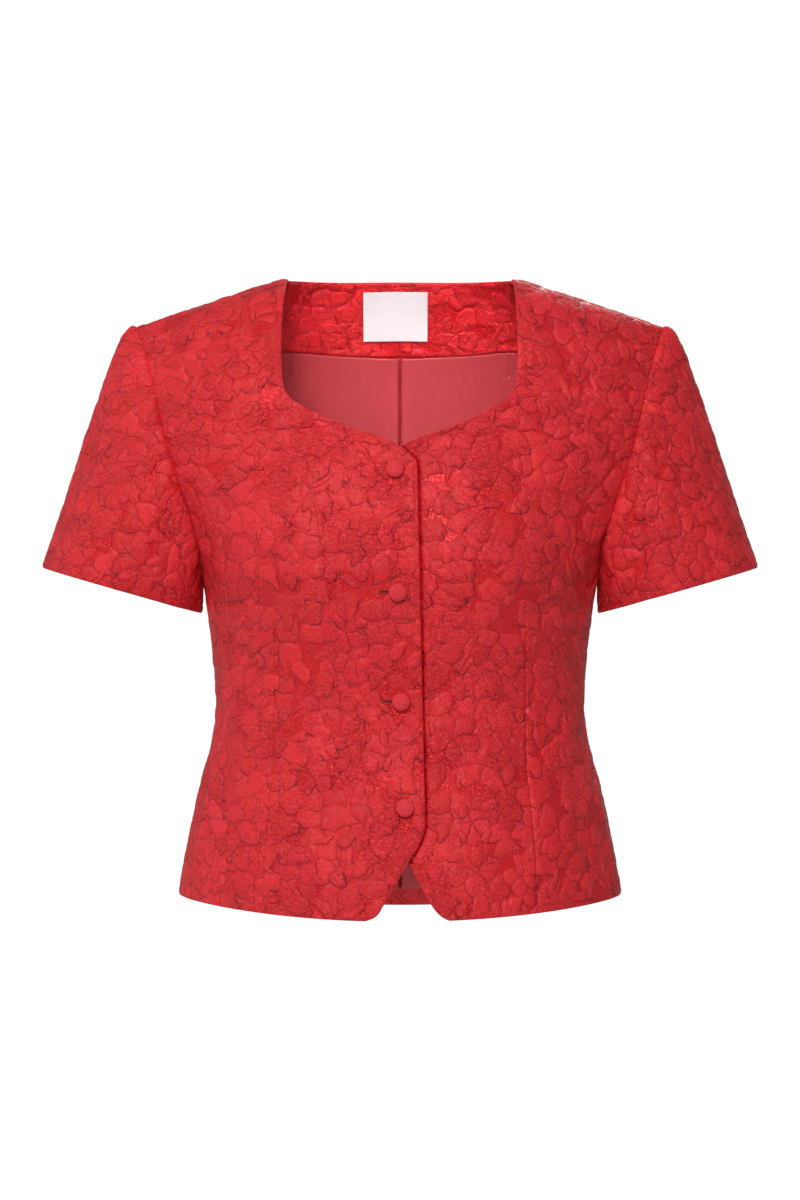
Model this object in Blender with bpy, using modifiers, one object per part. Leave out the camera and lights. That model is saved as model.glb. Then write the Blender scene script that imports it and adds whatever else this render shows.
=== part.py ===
# Short-sleeved blouse, worn form with nobody in it, one solid for each cut piece.
# Metres, +Z up. The front faces -Y, and the wearer's right is at -X.
# The origin lies midway between the two points where the shoulder seams meet the neck.
import math

import bmesh
import bpy
import numpy as np
from mathutils import Matrix, Vector

COLLECTION = "short_sleeved_blouse"
CUTTERS = "cutters"

# Walls and gaps
WALL = 0.0015
THIN_WALL = 0.0010
SEAM_GAP = 0.0009
LAYER_GAP = 0.0006

# Body form
ARCH_LEVEL = -0.150
HEM_LEVEL = -0.4855
UNDERARM_LEVEL = -0.2406
SECTION_POWER = 2.1
NECK_HALF = 0.0885
NECK_ROUNDING = 0.006
SHOULDER_SLOPE = 0.3305
NECK_BACK_RISE = 0.002
NECK_BACK_DEPTH = 0.062
BUST_APEX = 0.085
BUST_LEVEL = -0.222
BUST_RISE = 0.012
BUST_SPREAD = 0.055
HEM_DROP_FRONT = 0.0128
HEM_DROP_BACK = 0.019
HEM_DROP_HEIGHT = 0.125

# Front closure
OVERLAP_LIFT = 0.00115
OVERLAP_FULL = 0.024
OVERLAP_START = 0.045
DART_HALF = 0.003
DART_DEPTH = 0.0012
DART_TIP_LEVEL = -0.250
DART_FADE = 0.050
BACK_DART_COLUMN = 4
BACK_DART_LOW = -0.400
BACK_DART_HIGH = -0.230

# Sleeves
CUFF_CENTRE_X = 0.2197
CUFF_CENTRE_Y = 0.004
CUFF_CENTRE_Z = -0.2465
CUFF_HALF_WIDTH = 0.0648
CUFF_HALF_DEPTH = 0.052
CUFF_TILT = math.radians(16.0)
SLEEVE_BULGE = 0.006
SLEEVE_SHARE = 0.2

# Buttons, 22 ligne, covered
BUTTON_DIAMETER = 0.0140
BUTTON_HEIGHT = 0.0048
BUTTON_RIM = 0.0016
BUTTON_GAP = 0.0012
BUTTON_EDGE = 0.0007
SHANK_DIAMETER = 0.0018
SHANK_REACH = 0.0016
HOLE_LENGTH = 0.0155
HOLE_WIDTH = 0.0026
BUTTON_STEPS = 16

# Label, facing and lining
LABEL_WIDTH = 0.0527
LABEL_HEIGHT = 0.0380
LABEL_CENTRE = -0.0037
LABEL_TOP_LEVEL = -0.0060
FACING_HALF = 0.112
FACING_LEVEL = -0.057
FACING_SIDE_RISE = 0.0085
FACING_TOP_MARGIN = 0.12
LINING_MARGIN = 1.0
LINING_HEM_LEVEL = -0.4715
PLEAT_RISE = 0.0014
PLEAT_WIDTH = 0.013
PLEAT_STEP = 0.001

# Faces across the pieces
FRONT_STEPS = 6
NECK_STEPS = 6
SIDE_STEPS = 7
SLEEVE_STEPS = 36
SLEEVE_ROWS = 11
SLEEVE_ROW_POWER = 1.15
SEAM_POINTS = 160
LINE_MARGIN = 0.15

# Level, then half width of the body form, depth in front and depth behind
FORM_COLUMNS = ("level", "half", "front", "back")
FORM = (
    (-0.4855, 0.1736, 0.1180, 0.1190),
    (-0.4490, 0.1671, 0.1145, 0.1140),
    (-0.4040, 0.1576, 0.1080, 0.1040),
    (-0.3580, 0.1462, 0.1015, 0.0945),
    (-0.3330, 0.1438, 0.1000, 0.0925),
    (-0.3000, 0.1462, 0.1040, 0.0950),
    (-0.2630, 0.1505, 0.1110, 0.1010),
    (-0.2406, 0.1542, 0.1150, 0.1045),
    (-0.2300, 0.1574, 0.1160, 0.1060),
    (-0.2118, 0.1652, 0.1150, 0.1080),
    (-0.1869, 0.1800, 0.1105, 0.1095),
    (-0.1639, 0.1950, 0.1055, 0.1100),
    (-0.1500, 0.2040, 0.1030, 0.1100),
    (-0.1200, 0.2110, 0.1000, 0.1090),
    (-0.0800, 0.2130, 0.0985, 0.1070),
    (0.0000, 0.2130, 0.0980, 0.1060),
)

# Level, then distance of the armhole seam from the middle
ARMHOLE_COLUMNS = ("level", "out")
ARMHOLE = (
    (-0.2406, 0.1542),
    (-0.2300, 0.1551),
    (-0.2118, 0.1563),
    (-0.1869, 0.1632),
    (-0.1639, 0.1715),
    (-0.1409, 0.1783),
    (-0.1150, 0.1840),
    (-0.0906, 0.1886),
    (-0.0670, 0.1930),
    (-0.0440, 0.1976),
    (-0.0200, 0.2030),
    (0.0000, 0.2085),
)

# Level, then each front's inner edge and dart line, measured towards its own side
EDGE_COLUMNS = ("level", "right", "left", "dart")
EDGE = (
    (-0.4855, 0.0262, 0.0375, 0.1050),
    (-0.4825, 0.0188, 0.0318, 0.1049),
    (-0.4730, 0.0120, 0.0235, 0.1045),
    (-0.4480, -0.0040, 0.0090, 0.1037),
    (-0.4270, -0.0172, -0.0030, 0.1020),
    (-0.4200, -0.0190, -0.0070, 0.1014),
    (-0.4080, -0.0189, -0.0117, 0.1003),
    (-0.3760, -0.0182, -0.0130, 0.0968),
    (-0.2700, -0.0158, -0.0165, 0.0960),
    (-0.2340, -0.0150, -0.0175, 0.0935),
    (-0.1900, -0.0140, -0.0188, 0.0940),
    (-0.1485, -0.0130, -0.0200, 0.0980),
    (-0.1450, -0.0102, -0.0152, 0.0995),
    (-0.1410, -0.0060, -0.0085, 0.1013),
    (-0.1365, 0.0000, 0.0000, 0.1035),
    (-0.1320, 0.0097, 0.0092, 0.1065),
    (-0.1275, 0.0200, 0.0200, 0.1100),
    (-0.1230, 0.0350, 0.0350, 0.1140),
    (-0.1175, 0.0495, 0.0490, 0.1185),
    (-0.1105, 0.0640, 0.0630, 0.1235),
    (-0.1030, 0.0775, 0.0765, 0.1280),
    (-0.0985, 0.0840, 0.0828, 0.1300),
    (-0.0920, 0.0882, 0.0870, 0.1330),
    (-0.0780, 0.0907, 0.0897, 0.1375),
    (-0.0550, 0.0915, 0.0905, 0.1425),
    (-0.0300, 0.0912, 0.0903, 0.1450),
    (0.0000, 0.0885, 0.0885, 0.1460),
)

# Rows up a panel: the level that a stretch reaches, and its steps
FRONT_ROWS = (
    (-0.4855, 0),
    (-0.4825, 1),
    (-0.4730, 1),
    (-0.4200, 4),
    (-0.2406, 8),
    (-0.1485, 5),
    (-0.1365, 2),
    (-0.1030, 4),
    (-0.0920, 1),
    (0.0000, 6),
)
BACK_ROWS = (
    (-0.4855, 0),
    (-0.4200, 3),
    (-0.2406, 7),
    (-0.1500, 5),
    (0.0000, 8),
)
# How the sleeve leaves the armhole at the head, in front and behind, and under the arm:
# its start beside the seam, the way it rolls, and how far
SLEEVE_START = (
    ("head", (0.0012, 0.0, 0.0010), (0.997, 0.0, -0.080), 0.0125),
    ("side", (0.0014, 0.0006, 0.0), (0.620, 0.400, -0.660), 0.0100),
    ("under", (0.0023, 0.0, 0.0006), (0.120, 0.0, -0.990), 0.0040),
)

# Buttons: level, and place across from the middle
BUTTONS = (
    (-0.1545, -0.0038),
    (-0.2475, -0.0019),
    (-0.3315, 0.0008),
    (-0.4085, 0.0038),
)

RED_CLOTH = (0.600, 0.028, 0.035)
RED_SATIN = (0.480, 0.060, 0.070)
LABEL_WHITE = (0.850, 0.820, 0.820)


def clear_scene():
    for thing in list(bpy.data.objects):
        bpy.data.objects.remove(thing, do_unlink=True)


def column(table, columns, name):
    return np.array([row[columns.index(name)] for row in table])


def smooth_through(keys, values, at):
    """A curve through the table's points that doesn't overshoot between them."""
    steps = np.diff(keys)
    slopes = np.diff(values) / steps
    tangents = np.zeros(len(keys))
    tangents[0] = slopes[0]
    tangents[-1] = slopes[-1]
    for i in range(1, len(keys) - 1):
        if slopes[i - 1] * slopes[i] > 0.0:
            before = 2.0 * steps[i] + steps[i - 1]
            after = steps[i] + 2.0 * steps[i - 1]
            tangents[i] = (before + after) / (before / slopes[i - 1] + after / slopes[i])
    at = np.clip(np.asarray(at, dtype=float), keys[0], keys[-1])
    i = np.clip(np.searchsorted(keys, at, side="right") - 1, 0, len(keys) - 2)
    t = (at - keys[i]) / steps[i]
    start = (1.0 + 2.0 * t) * (1.0 - t) ** 2 * values[i]
    start = start + t * (1.0 - t) ** 2 * steps[i] * tangents[i]
    end = t ** 2 * (3.0 - 2.0 * t) * values[i + 1]
    end = end + t ** 2 * (t - 1.0) * steps[i] * tangents[i + 1]
    return start + end


def form(level, name):
    keys = column(FORM, FORM_COLUMNS, "level")
    return smooth_through(keys, column(FORM, FORM_COLUMNS, name), level)


def armhole_out(level):
    keys = column(ARMHOLE, ARMHOLE_COLUMNS, "level")
    return smooth_through(keys, column(ARMHOLE, ARMHOLE_COLUMNS, "out"), level)


def front_line(level, name):
    keys = column(EDGE, EDGE_COLUMNS, "level")
    return smooth_through(keys, column(EDGE, EDGE_COLUMNS, name), level)


def soft_step(value, low, high):
    t = np.clip((value - low) / (high - low), 0.0, 1.0)
    return t * t * (3.0 - 2.0 * t)


# The height h runs from -1 at the hem to 0 where the shoulder arch starts, and to 1
# on the shoulder seam. It turns into a level, which is the real height near the middle.
def level_of(h):
    below = ARCH_LEVEL + h * (ARCH_LEVEL - HEM_LEVEL)
    above = ARCH_LEVEL * (1.0 - np.sin(h * math.pi / 2.0))
    return np.where(h < 0.0, below, above)


def height_of(level):
    share = np.clip(1.0 - level / ARCH_LEVEL, -1.0, 1.0)
    above = np.arcsin(np.maximum(share, 0.0)) * 2.0 / math.pi
    below = (level - ARCH_LEVEL) / (ARCH_LEVEL - HEM_LEVEL)
    return np.where(level < ARCH_LEVEL, below, above)


def shoulder_drop(x):
    past = (np.abs(x) - NECK_HALF) / NECK_ROUNDING
    return SHOULDER_SLOPE * NECK_ROUNDING * np.logaddexp(0.0, past)


def angle_at(x, level):
    ratio = np.clip(np.abs(x) / form(level, "half"), 0.0, 1.0)
    return np.sign(x) * np.arcsin(ratio ** (SECTION_POWER / 2.0))


def section(angle, level):
    power = 2.0 / SECTION_POWER
    across = np.sign(angle) * np.abs(np.sin(angle)) ** power
    deep = np.sign(np.cos(angle)) * np.abs(np.cos(angle)) ** power
    return form(level, "half") * across, deep


def real_height(x, h, drop):
    level = level_of(h)
    top = NECK_BACK_RISE * (drop == HEM_DROP_BACK) * (1.0 - soft_step(np.abs(x), 0.0, NECK_HALF))
    arch = ARCH_LEVEL + (top - shoulder_drop(x) - ARCH_LEVEL) * np.sin(h * math.pi / 2.0)
    fade = 1.0 - soft_step(level, HEM_LEVEL, HEM_LEVEL + HEM_DROP_HEIGHT)
    half = form(level, "half")
    fall = drop * fade * np.clip(1.0 - (x / half) ** 2, 0.0, 1.0)
    return np.where(h < 0.0, level - fall, arch)


def front_surface(angle, h):
    """Middle of the front cloth, where the section angle is 0 at the middle."""
    level = level_of(h)
    x, deep = section(angle, level)
    z = real_height(x, h, HEM_DROP_FRONT)
    arch = np.where(h > 0.0, np.cos(h * math.pi / 2.0), 1.0)
    across = (np.abs(x) - BUST_APEX) / BUST_SPREAD
    up = (z - BUST_LEVEL) / BUST_SPREAD
    bust = BUST_RISE * np.exp(-across ** 2 - up ** 2) * np.cos(angle)
    y = -(form(level, "front") * deep + bust) * arch - SEAM_GAP / 2.0
    return np.stack([x, y, z], axis=-1)


def back_surface(angle, h):
    """Middle of the back cloth; the neck edge stands behind the shoulder line."""
    level = level_of(h)
    x, deep = section(angle, level)
    z = real_height(x, h, HEM_DROP_BACK)
    turn = np.cos(h * math.pi / 2.0)
    ridge = np.clip(np.sin(h * math.pi / 2.0), 0.0, 1.0) ** 8
    round_edge = np.clip(1.0 - (x / NECK_HALF) ** 2, 0.0, 1.0) ** 0.5
    blended = np.exp(-np.abs(x / NECK_HALF) ** 3)
    edge = NECK_BACK_DEPTH * (round_edge * ridge + blended * (1.0 - ridge))
    power = 2.0 - soft_step(np.abs(x), 0.2 * NECK_HALF, 1.7 * NECK_HALF)
    arch = np.where(h > 0.0, np.sign(turn) * np.abs(turn) ** power, 1.0)
    rest = form(level, "back") * deep
    y = np.where(h > 0.0, edge + (rest - edge) * arch, rest) + SEAM_GAP / 2.0
    return np.stack([x, y, z], axis=-1)


def outward(surface, angle, h):
    """Unit direction out of the body at points of a surface."""
    angle = np.asarray(angle, dtype=float)
    inner_h = np.clip(np.asarray(h, dtype=float) + 0.0 * angle, -1.0, 0.985)
    turn, rise = 0.002, 0.004
    along = surface(angle + turn, inner_h) - surface(angle - turn, inner_h)
    up = surface(angle, inner_h + rise) - surface(angle, inner_h - rise)
    normal = np.cross(along, up) * (1.0 if surface is front_surface else -1.0)
    return normal / np.linalg.norm(normal, axis=-1, keepdims=True)


def moved_out(surface, angle, h, lift):
    points = surface(np.asarray(angle, dtype=float), h)
    return points + outward(surface, angle, h) * np.asarray(lift)[..., None]


def row_heights(rows):
    heights = [float(height_of(rows[0][0]))]
    for level, steps in rows[1:]:
        target = float(height_of(level))
        heights += list(np.linspace(heights[-1], target, steps + 1)[1:])
    return np.array(heights)


def out_angle(h):
    level = level_of(h)
    return np.where(level <= UNDERARM_LEVEL, math.pi / 2.0, angle_at(armhole_out(level), level))


def new_object(name, colour, roughness, points, faces, edges=()):
    mesh = bpy.data.meshes.new(name)
    mesh.from_pydata([tuple(p) for p in points], list(edges), faces)
    mesh.shade_smooth()
    thing = bpy.data.objects.new(name, mesh)
    bpy.data.collections[COLLECTION].objects.link(thing)
    material = bpy.data.materials.new(name)
    material.use_nodes = True
    shader = material.node_tree.nodes["Principled BSDF"]
    shader.inputs["Base Color"].default_value = (*colour, 1.0)
    shader.inputs["Roughness"].default_value = roughness
    mesh.materials.append(material)
    return thing


def grid_faces(rows, columns, closed=False, flip=False):
    faces = []
    across = columns if closed else columns - 1
    for i in range(rows - 1):
        for j in range(across):
            k = (j + 1) % columns
            face = (i * columns + j, i * columns + k, (i + 1) * columns + k, (i + 1) * columns + j)
            faces.append(face[::-1] if flip else face)
    return faces


def cloth_from_grid(name, colour, roughness, grid, wall, closed=False, flip=False):
    """A wall around the grid's surface, half of it on each side."""
    rows, columns = grid.shape[:2]
    faces = grid_faces(rows, columns, closed, flip)
    cloth = new_object(name, colour, roughness, grid.reshape(-1, 3), faces)
    solid = cloth.modifiers.new("Wall", "SOLIDIFY")
    solid.thickness = wall
    solid.offset = 0.0
    solid.use_rim = True
    return cloth


def overlap_lift(x, side):
    """The right front lies on the left one where they cross; x runs to the own side."""
    reach = 1.0 - soft_step(x, OVERLAP_FULL, OVERLAP_START)
    return OVERLAP_LIFT * reach * (1.0 if side < 0 else -1.0)


def front_grid(side, edge_name):
    """side is -1 for the wearer's right and +1 for the left."""
    grid = []
    for h in row_heights(FRONT_ROWS):
        level = level_of(h)
        inner = angle_at(front_line(level, edge_name), level)
        dart = front_line(level, "dart")
        before = angle_at(dart - DART_HALF, level)
        after = angle_at(dart + DART_HALF, level)
        angles = np.concatenate([
            np.linspace(inner, before, FRONT_STEPS + 1),
            np.array([angle_at(dart, level)]),
            np.linspace(after, out_angle(h), FRONT_STEPS + 1),
        ])
        lift = overlap_lift(front_surface(angles, h)[:, 0], side)
        fade = 1.0 - soft_step(level, DART_TIP_LEVEL - DART_FADE, DART_TIP_LEVEL)
        lift[FRONT_STEPS + 1] -= DART_DEPTH * fade
        grid.append(moved_out(front_surface, angles, h, lift))
    grid = np.array(grid)
    grid[..., 0] *= side
    return grid


def front_panel(name, grid):
    return cloth_from_grid(name, RED_CLOTH, 0.75, grid, WALL, flip=grid[0, -1, 0] < 0.0)


def back_grid():
    """Heights of the rows, the cloth's middle points and their outward directions."""
    heights = row_heights(BACK_ROWS)
    points = []
    for h in heights:
        level = level_of(h)
        near_neck = NECK_HALF * np.sin(np.linspace(0.0, math.pi / 2.0, NECK_STEPS + 1))
        angles = angle_at(near_neck, level)
        angles = np.concatenate([angles, np.linspace(angles[-1], out_angle(h), SIDE_STEPS + 1)[1:]])
        angles = np.concatenate([-angles[:0:-1], angles])
        points.append(back_surface(angles, h))
    points = np.array(points)
    normals = np.cross(np.gradient(points, axis=0), np.gradient(points, axis=1))
    normals = normals / np.linalg.norm(normals, axis=-1, keepdims=True)
    levels = level_of(heights)
    sunk = soft_step(levels, BACK_DART_LOW - DART_FADE, BACK_DART_LOW)
    sunk = sunk * (1.0 - soft_step(levels, BACK_DART_HIGH - DART_FADE, BACK_DART_HIGH))
    middle = points.shape[1] // 2
    for place in (middle - BACK_DART_COLUMN, middle + BACK_DART_COLUMN):
        points[:, place] -= normals[:, place] * (DART_DEPTH * sunk)[:, None]
    return heights, points, normals


def at_grid(values, column_at, row_at):
    """Values between grid points, on the flat faces that join them."""
    i = np.clip(np.floor(row_at).astype(int), 0, values.shape[0] - 2)
    j = np.clip(np.floor(column_at).astype(int), 0, values.shape[1] - 2)
    up = (row_at - i)[..., None]
    along = (column_at - j)[..., None]
    low = values[i, j] * (1.0 - along) + values[i, j + 1] * along
    high = values[i + 1, j] * (1.0 - along) + values[i + 1, j + 1] * along
    return low * (1.0 - up) + high * up


def rows_of(back, level):
    return np.interp(height_of(level), back[0], np.arange(len(back[0])))


def columns_of(back, x, row):
    """Column at which a row of the back lies at x."""
    points = back[1]
    count = points.shape[1]
    places = np.arange(count, dtype=float)
    line = at_grid(points, places, np.full(count, float(row)))
    return np.interp(x, line[:, 0], places)


def lines_between(low, high):
    """The two ends and the grid lines between them."""
    lines = range(math.ceil(low + LINE_MARGIN), math.floor(high - LINE_MARGIN) + 1)
    return np.array([low, *lines, high], dtype=float)


def layer_inside(back, columns_at, rows_at, lift):
    """Points of a layer that lies inside the back, moved in from the back's own faces."""
    points = at_grid(back[1], columns_at, rows_at)
    normals = at_grid(back[2], columns_at, rows_at)
    normals = normals / np.linalg.norm(normals, axis=-1, keepdims=True)
    return points - normals * np.asarray(lift)[..., None]


def back_panel(back):
    return cloth_from_grid("back", RED_CLOTH, 0.75, back[1], WALL, flip=True)


def facing_low(x):
    return FACING_LEVEL + FACING_SIDE_RISE * np.clip(np.abs(x) / FACING_HALF, 0.0, 1.0) ** 2


def back_neck_facing(back):
    """Lies inside the back from the neck edge down to a shallow curve."""
    inset = WALL / 2.0 + LAYER_GAP + THIN_WALL / 2.0
    top = len(back[0]) - 1 - FACING_TOP_MARGIN
    middle_row = rows_of(back, FACING_LEVEL)
    ends = columns_of(back, np.array([-FACING_HALF, FACING_HALF]), middle_row)
    columns_at = lines_between(*ends)
    x = at_grid(back[1], columns_at, np.full(len(columns_at), middle_row))[:, 0]
    low = rows_of(back, facing_low(x))
    whole = np.arange(math.ceil(low.max() + 0.1), math.floor(top) + 1)
    rows_at = [low] + [np.full(len(low), float(k)) for k in whole] + [np.full(len(low), top)]
    grid = np.array([layer_inside(back, columns_at, row, np.full(len(low), inset)) for row in rows_at])
    return cloth_from_grid("back_neck_facing", RED_CLOTH, 0.75, grid, THIN_WALL, flip=True)


def pleat_lift(x):
    """The left half laps over the right one in a knife pleat at the middle."""
    left = soft_step(x, -PLEAT_WIDTH, -PLEAT_STEP) * (x < 0.0)
    return PLEAT_RISE * left


def back_lining(back):
    """Hangs inside the back from the facing to above the turned hem."""
    inset = WALL / 2.0 + LAYER_GAP + THIN_WALL / 2.0
    count = back[1].shape[1]
    middle_row = rows_of(back, FACING_LEVEL)
    pleat = columns_of(back, np.array([-PLEAT_WIDTH, -PLEAT_STEP, PLEAT_STEP, PLEAT_WIDTH]), middle_row)
    plain = lines_between(LINING_MARGIN, count - 1 - LINING_MARGIN)
    columns_at = np.sort(np.concatenate([plain[plain != count // 2], pleat]))
    x = at_grid(back[1], columns_at, np.full(len(columns_at), middle_row))[:, 0]
    top = rows_of(back, facing_low(x) - SEAM_GAP)
    low = rows_of(back, LINING_HEM_LEVEL)
    whole = np.arange(math.ceil(low + 0.1), math.floor(top.min() - 0.1) + 1)
    rows_at = [np.full(len(x), low)] + [np.full(len(x), float(k)) for k in whole] + [top]
    grid = np.array([layer_inside(back, columns_at, row, inset + pleat_lift(x)) for row in rows_at])
    return cloth_from_grid("lining_back", RED_SATIN, 0.35, grid, THIN_WALL, flip=True)


def woven_label(back):
    """Sewn to the facing, a little to the wearer's right of the middle."""
    inset = WALL / 2.0 + 2.0 * LAYER_GAP + 1.5 * THIN_WALL
    low, high = rows_of(back, LABEL_TOP_LEVEL - LABEL_HEIGHT), rows_of(back, LABEL_TOP_LEVEL)
    ends = LABEL_CENTRE + np.array([-LABEL_WIDTH / 2.0, LABEL_WIDTH / 2.0])
    columns_at = lines_between(*columns_of(back, ends, (low + high) / 2.0))
    lift = np.full(len(columns_at), inset)
    rows_at = [np.full(len(lift), row) for row in lines_between(low, high)]
    grid = np.array([layer_inside(back, columns_at, row, lift) for row in rows_at])
    return cloth_from_grid("label", LABEL_WHITE, 0.45, grid, THIN_WALL, flip=True)


def armhole_frame(count):
    """Evenly spaced points round the armhole from the shoulder forward, and back behind."""
    heights = np.linspace(1.0, float(height_of(UNDERARM_LEVEL)), SEAM_POINTS)
    ahead = front_surface(out_angle(heights), heights)
    behind = back_surface(out_angle(heights), heights)
    loop = np.concatenate([ahead, behind[-2:0:-1]])
    ring = np.concatenate([loop, loop[:1]])
    length = np.concatenate([[0.0], np.cumsum(np.linalg.norm(np.diff(ring, axis=0), axis=1))])
    half_way = length[len(heights) - 1]
    turn = np.linspace(0.0, 2.0, count, endpoint=False)
    at = np.where(turn < 1.0, turn * half_way, half_way + (turn - 1.0) * (length[-1] - half_way))
    points = np.stack([np.interp(at, length, ring[:, k]) for k in range(3)], axis=-1)
    return turn * math.pi, points


def sleeve_grid(round_steps, shares):
    """Rows from the armhole to the cuff, each a ring that starts at the shoulder."""
    turn, seam = armhole_frame(round_steps)
    ahead = -np.sign(np.sin(turn))
    weights = {
        "head": np.maximum(np.cos(turn), 0.0) ** 2,
        "side": np.sin(turn) ** 2,
        "under": np.maximum(-np.cos(turn), 0.0) ** 2,
    }
    start = seam.copy()
    roll = np.zeros_like(seam)
    reach = np.zeros(len(turn))
    facing = np.stack([np.ones(len(turn)), ahead, np.ones(len(turn))], axis=-1)
    for place, offset, way, length in SLEEVE_START:
        weight = weights[place][:, None]
        start += weight * facing * np.array(offset)
        roll += weight * facing * np.array(way)
        reach += weights[place] * length
    roll = roll / np.linalg.norm(roll, axis=1, keepdims=True)
    wide = np.array([math.cos(CUFF_TILT), 0.0, math.sin(CUFF_TILT)]) * CUFF_HALF_WIDTH
    cuff = np.array([CUFF_CENTRE_X, CUFF_CENTRE_Y, CUFF_CENTRE_Z]) + np.cos(turn)[:, None] * wide
    cuff[:, 1] -= np.sin(turn) * CUFF_HALF_DEPTH
    radial = np.stack([np.maximum(np.cos(turn), 0.0), -np.sin(turn), np.zeros(len(turn))], axis=-1)
    near = start + roll * reach[:, None]
    far = start + (cuff - start) * SLEEVE_SHARE + radial * SLEEVE_BULGE
    rows = []
    for t in shares:
        row = start * (1 - t) ** 3 + near * 3 * t * (1 - t) ** 2
        rows.append(row + far * 3 * t ** 2 * (1 - t) + cuff * t ** 3)
    return np.array(rows)


def sleeve(name, side):
    shares = np.linspace(0.0, 1.0, SLEEVE_ROWS) ** SLEEVE_ROW_POWER
    grid = sleeve_grid(SLEEVE_STEPS, shares)
    grid[..., 0] *= side
    return cloth_from_grid(name, RED_CLOTH, 0.75, grid, WALL, closed=True, flip=side < 0)


def button_frame(front, level, across):
    """Where a button sits on the right front's outer face: +Z out, +X level."""
    rows, columns = front.shape[:2]
    heights = row_heights(FRONT_ROWS)
    row = np.interp(height_of(level), heights, np.arange(rows))
    line = at_grid(front, np.arange(columns, dtype=float), np.full(columns, row))
    column_at = np.interp(-across, -line[:, 0], np.arange(columns))
    near = ((0.0, 0.0), (0.3, 0.0), (0.0, 0.3))
    spots = [at_grid(front, np.array([column_at + c]), np.array([row + r]))[0] for c, r in near]
    middle, aside, above = [Vector(spot) for spot in spots]
    out = (above - middle).cross(aside - middle).normalized()
    level_way = Vector((0.0, 0.0, 1.0)).cross(out).normalized()
    frame = Matrix((level_way, out.cross(level_way), out)).transposed().to_4x4()
    frame.translation = middle + out * WALL / 2.0
    return frame


def button_profile():
    """From the top of the dome round its rim, then down the shank to its end."""
    radius = BUTTON_DIAMETER / 2.0
    shank = SHANK_DIAMETER / 2.0
    dome = BUTTON_HEIGHT - BUTTON_RIM
    points = []
    for i in range(6):
        a = math.radians(18.0 * i)
        points.append((radius * math.sin(a), BUTTON_GAP + BUTTON_RIM + dome * math.cos(a)))
    points.append((radius - BUTTON_EDGE, BUTTON_GAP))
    points.append((shank, BUTTON_GAP))
    points.append((shank, -SHANK_REACH))
    points.append((0.0, -SHANK_REACH))
    points[0] = (0.0, points[0][1])
    return points


def button(name, frame):
    points = [(x, 0.0, z) for x, z in button_profile()]
    edges = [(i, i + 1) for i in range(len(points) - 1)]
    thing = new_object(name, RED_CLOTH, 0.75, points, [], edges)
    turned = thing.modifiers.new("Turned", "SCREW")
    turned.steps = BUTTON_STEPS
    turned.render_steps = BUTTON_STEPS
    turned.use_merge_vertices = True
    turned.merge_threshold = 0.00001
    thing.location = frame.to_translation()
    thing.rotation_euler = frame.to_euler()
    return thing


def buttonhole_cutter(frames):
    """One box for each hole; the shank stands at the end nearest the front edge."""
    mesh = bpy.data.meshes.new("buttonhole_cutter")
    shape = bmesh.new()
    end = HOLE_WIDTH / 2.0
    for frame in frames:
        middle = Matrix.Translation((end - HOLE_LENGTH / 2.0, 0.0, 0.0))
        size = Matrix.Diagonal((HOLE_LENGTH, HOLE_WIDTH, 4.0 * WALL, 1.0))
        bmesh.ops.create_cube(shape, size=1.0, matrix=frame @ middle @ size)
    shape.to_mesh(mesh)
    shape.free()
    cutter = bpy.data.objects.new("buttonhole_cutter", mesh)
    cutter.display_type = "WIRE"
    cutter.hide_render = True
    bpy.data.collections[CUTTERS].objects.link(cutter)
    return cutter


def build():
    clear_scene()
    for name in (COLLECTION, CUTTERS):
        bpy.context.scene.collection.children.link(bpy.data.collections.new(name))
    right_grid = front_grid(-1, "right")
    front = front_panel("front_right", right_grid)
    front_panel("front_left", front_grid(1, "left"))
    back = back_grid()
    back_panel(back)
    sleeve("sleeve_right", -1)
    sleeve("sleeve_left", 1)
    back_neck_facing(back)
    back_lining(back)
    woven_label(back)
    frames = [button_frame(right_grid, level, across) for level, across in BUTTONS]
    for number, frame in enumerate(frames, start=1):
        button(f"button_{number}", frame)
    holes = front.modifiers.new("Buttonholes", "BOOLEAN")
    holes.operation = "DIFFERENCE"
    holes.solver = "EXACT"
    holes.object = buttonhole_cutter(frames)


build()
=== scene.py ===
import math

import bpy
import numpy as np
from mathutils import Matrix, Vector


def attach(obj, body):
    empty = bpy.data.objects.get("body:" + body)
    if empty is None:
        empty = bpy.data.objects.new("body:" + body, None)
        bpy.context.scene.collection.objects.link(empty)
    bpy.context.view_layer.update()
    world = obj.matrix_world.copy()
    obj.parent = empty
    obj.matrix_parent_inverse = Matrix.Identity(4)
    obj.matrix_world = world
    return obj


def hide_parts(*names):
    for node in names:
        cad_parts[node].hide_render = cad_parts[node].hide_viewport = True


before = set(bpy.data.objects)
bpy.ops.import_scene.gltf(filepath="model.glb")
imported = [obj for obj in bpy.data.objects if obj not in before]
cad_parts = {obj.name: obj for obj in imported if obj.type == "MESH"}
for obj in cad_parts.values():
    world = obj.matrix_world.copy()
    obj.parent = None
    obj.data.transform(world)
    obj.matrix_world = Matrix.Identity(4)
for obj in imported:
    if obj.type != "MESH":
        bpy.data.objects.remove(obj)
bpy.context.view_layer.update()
print("frame loaded")

# Form of the body that all the panels share
archLevel = -0.150  # the shoulder arch starts here
hemLevel = -0.4855
underarmLevel = -0.2406
sectionPower = 2.1  # 2 would be an ellipse
neckHalf = 0.0885
neckRounding = 0.006
shoulderSlope = 0.3305
neckBackRise = 0.002
neckBackDepth = 0.062
bustApex = 0.085
bustLevel = -0.222
bustRise = 0.012
bustSpread = 0.055
hemDropFront = 0.0128
hemDropBack = 0.019
hemDropHeight = 0.125

# Thickness of the cloths, and the gaps between layers and at seams
wall = 0.0015
thinWall = 0.0010
labelWall = 0.0005
layerGap = 0.0006
seamGap = 0.0009

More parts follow.
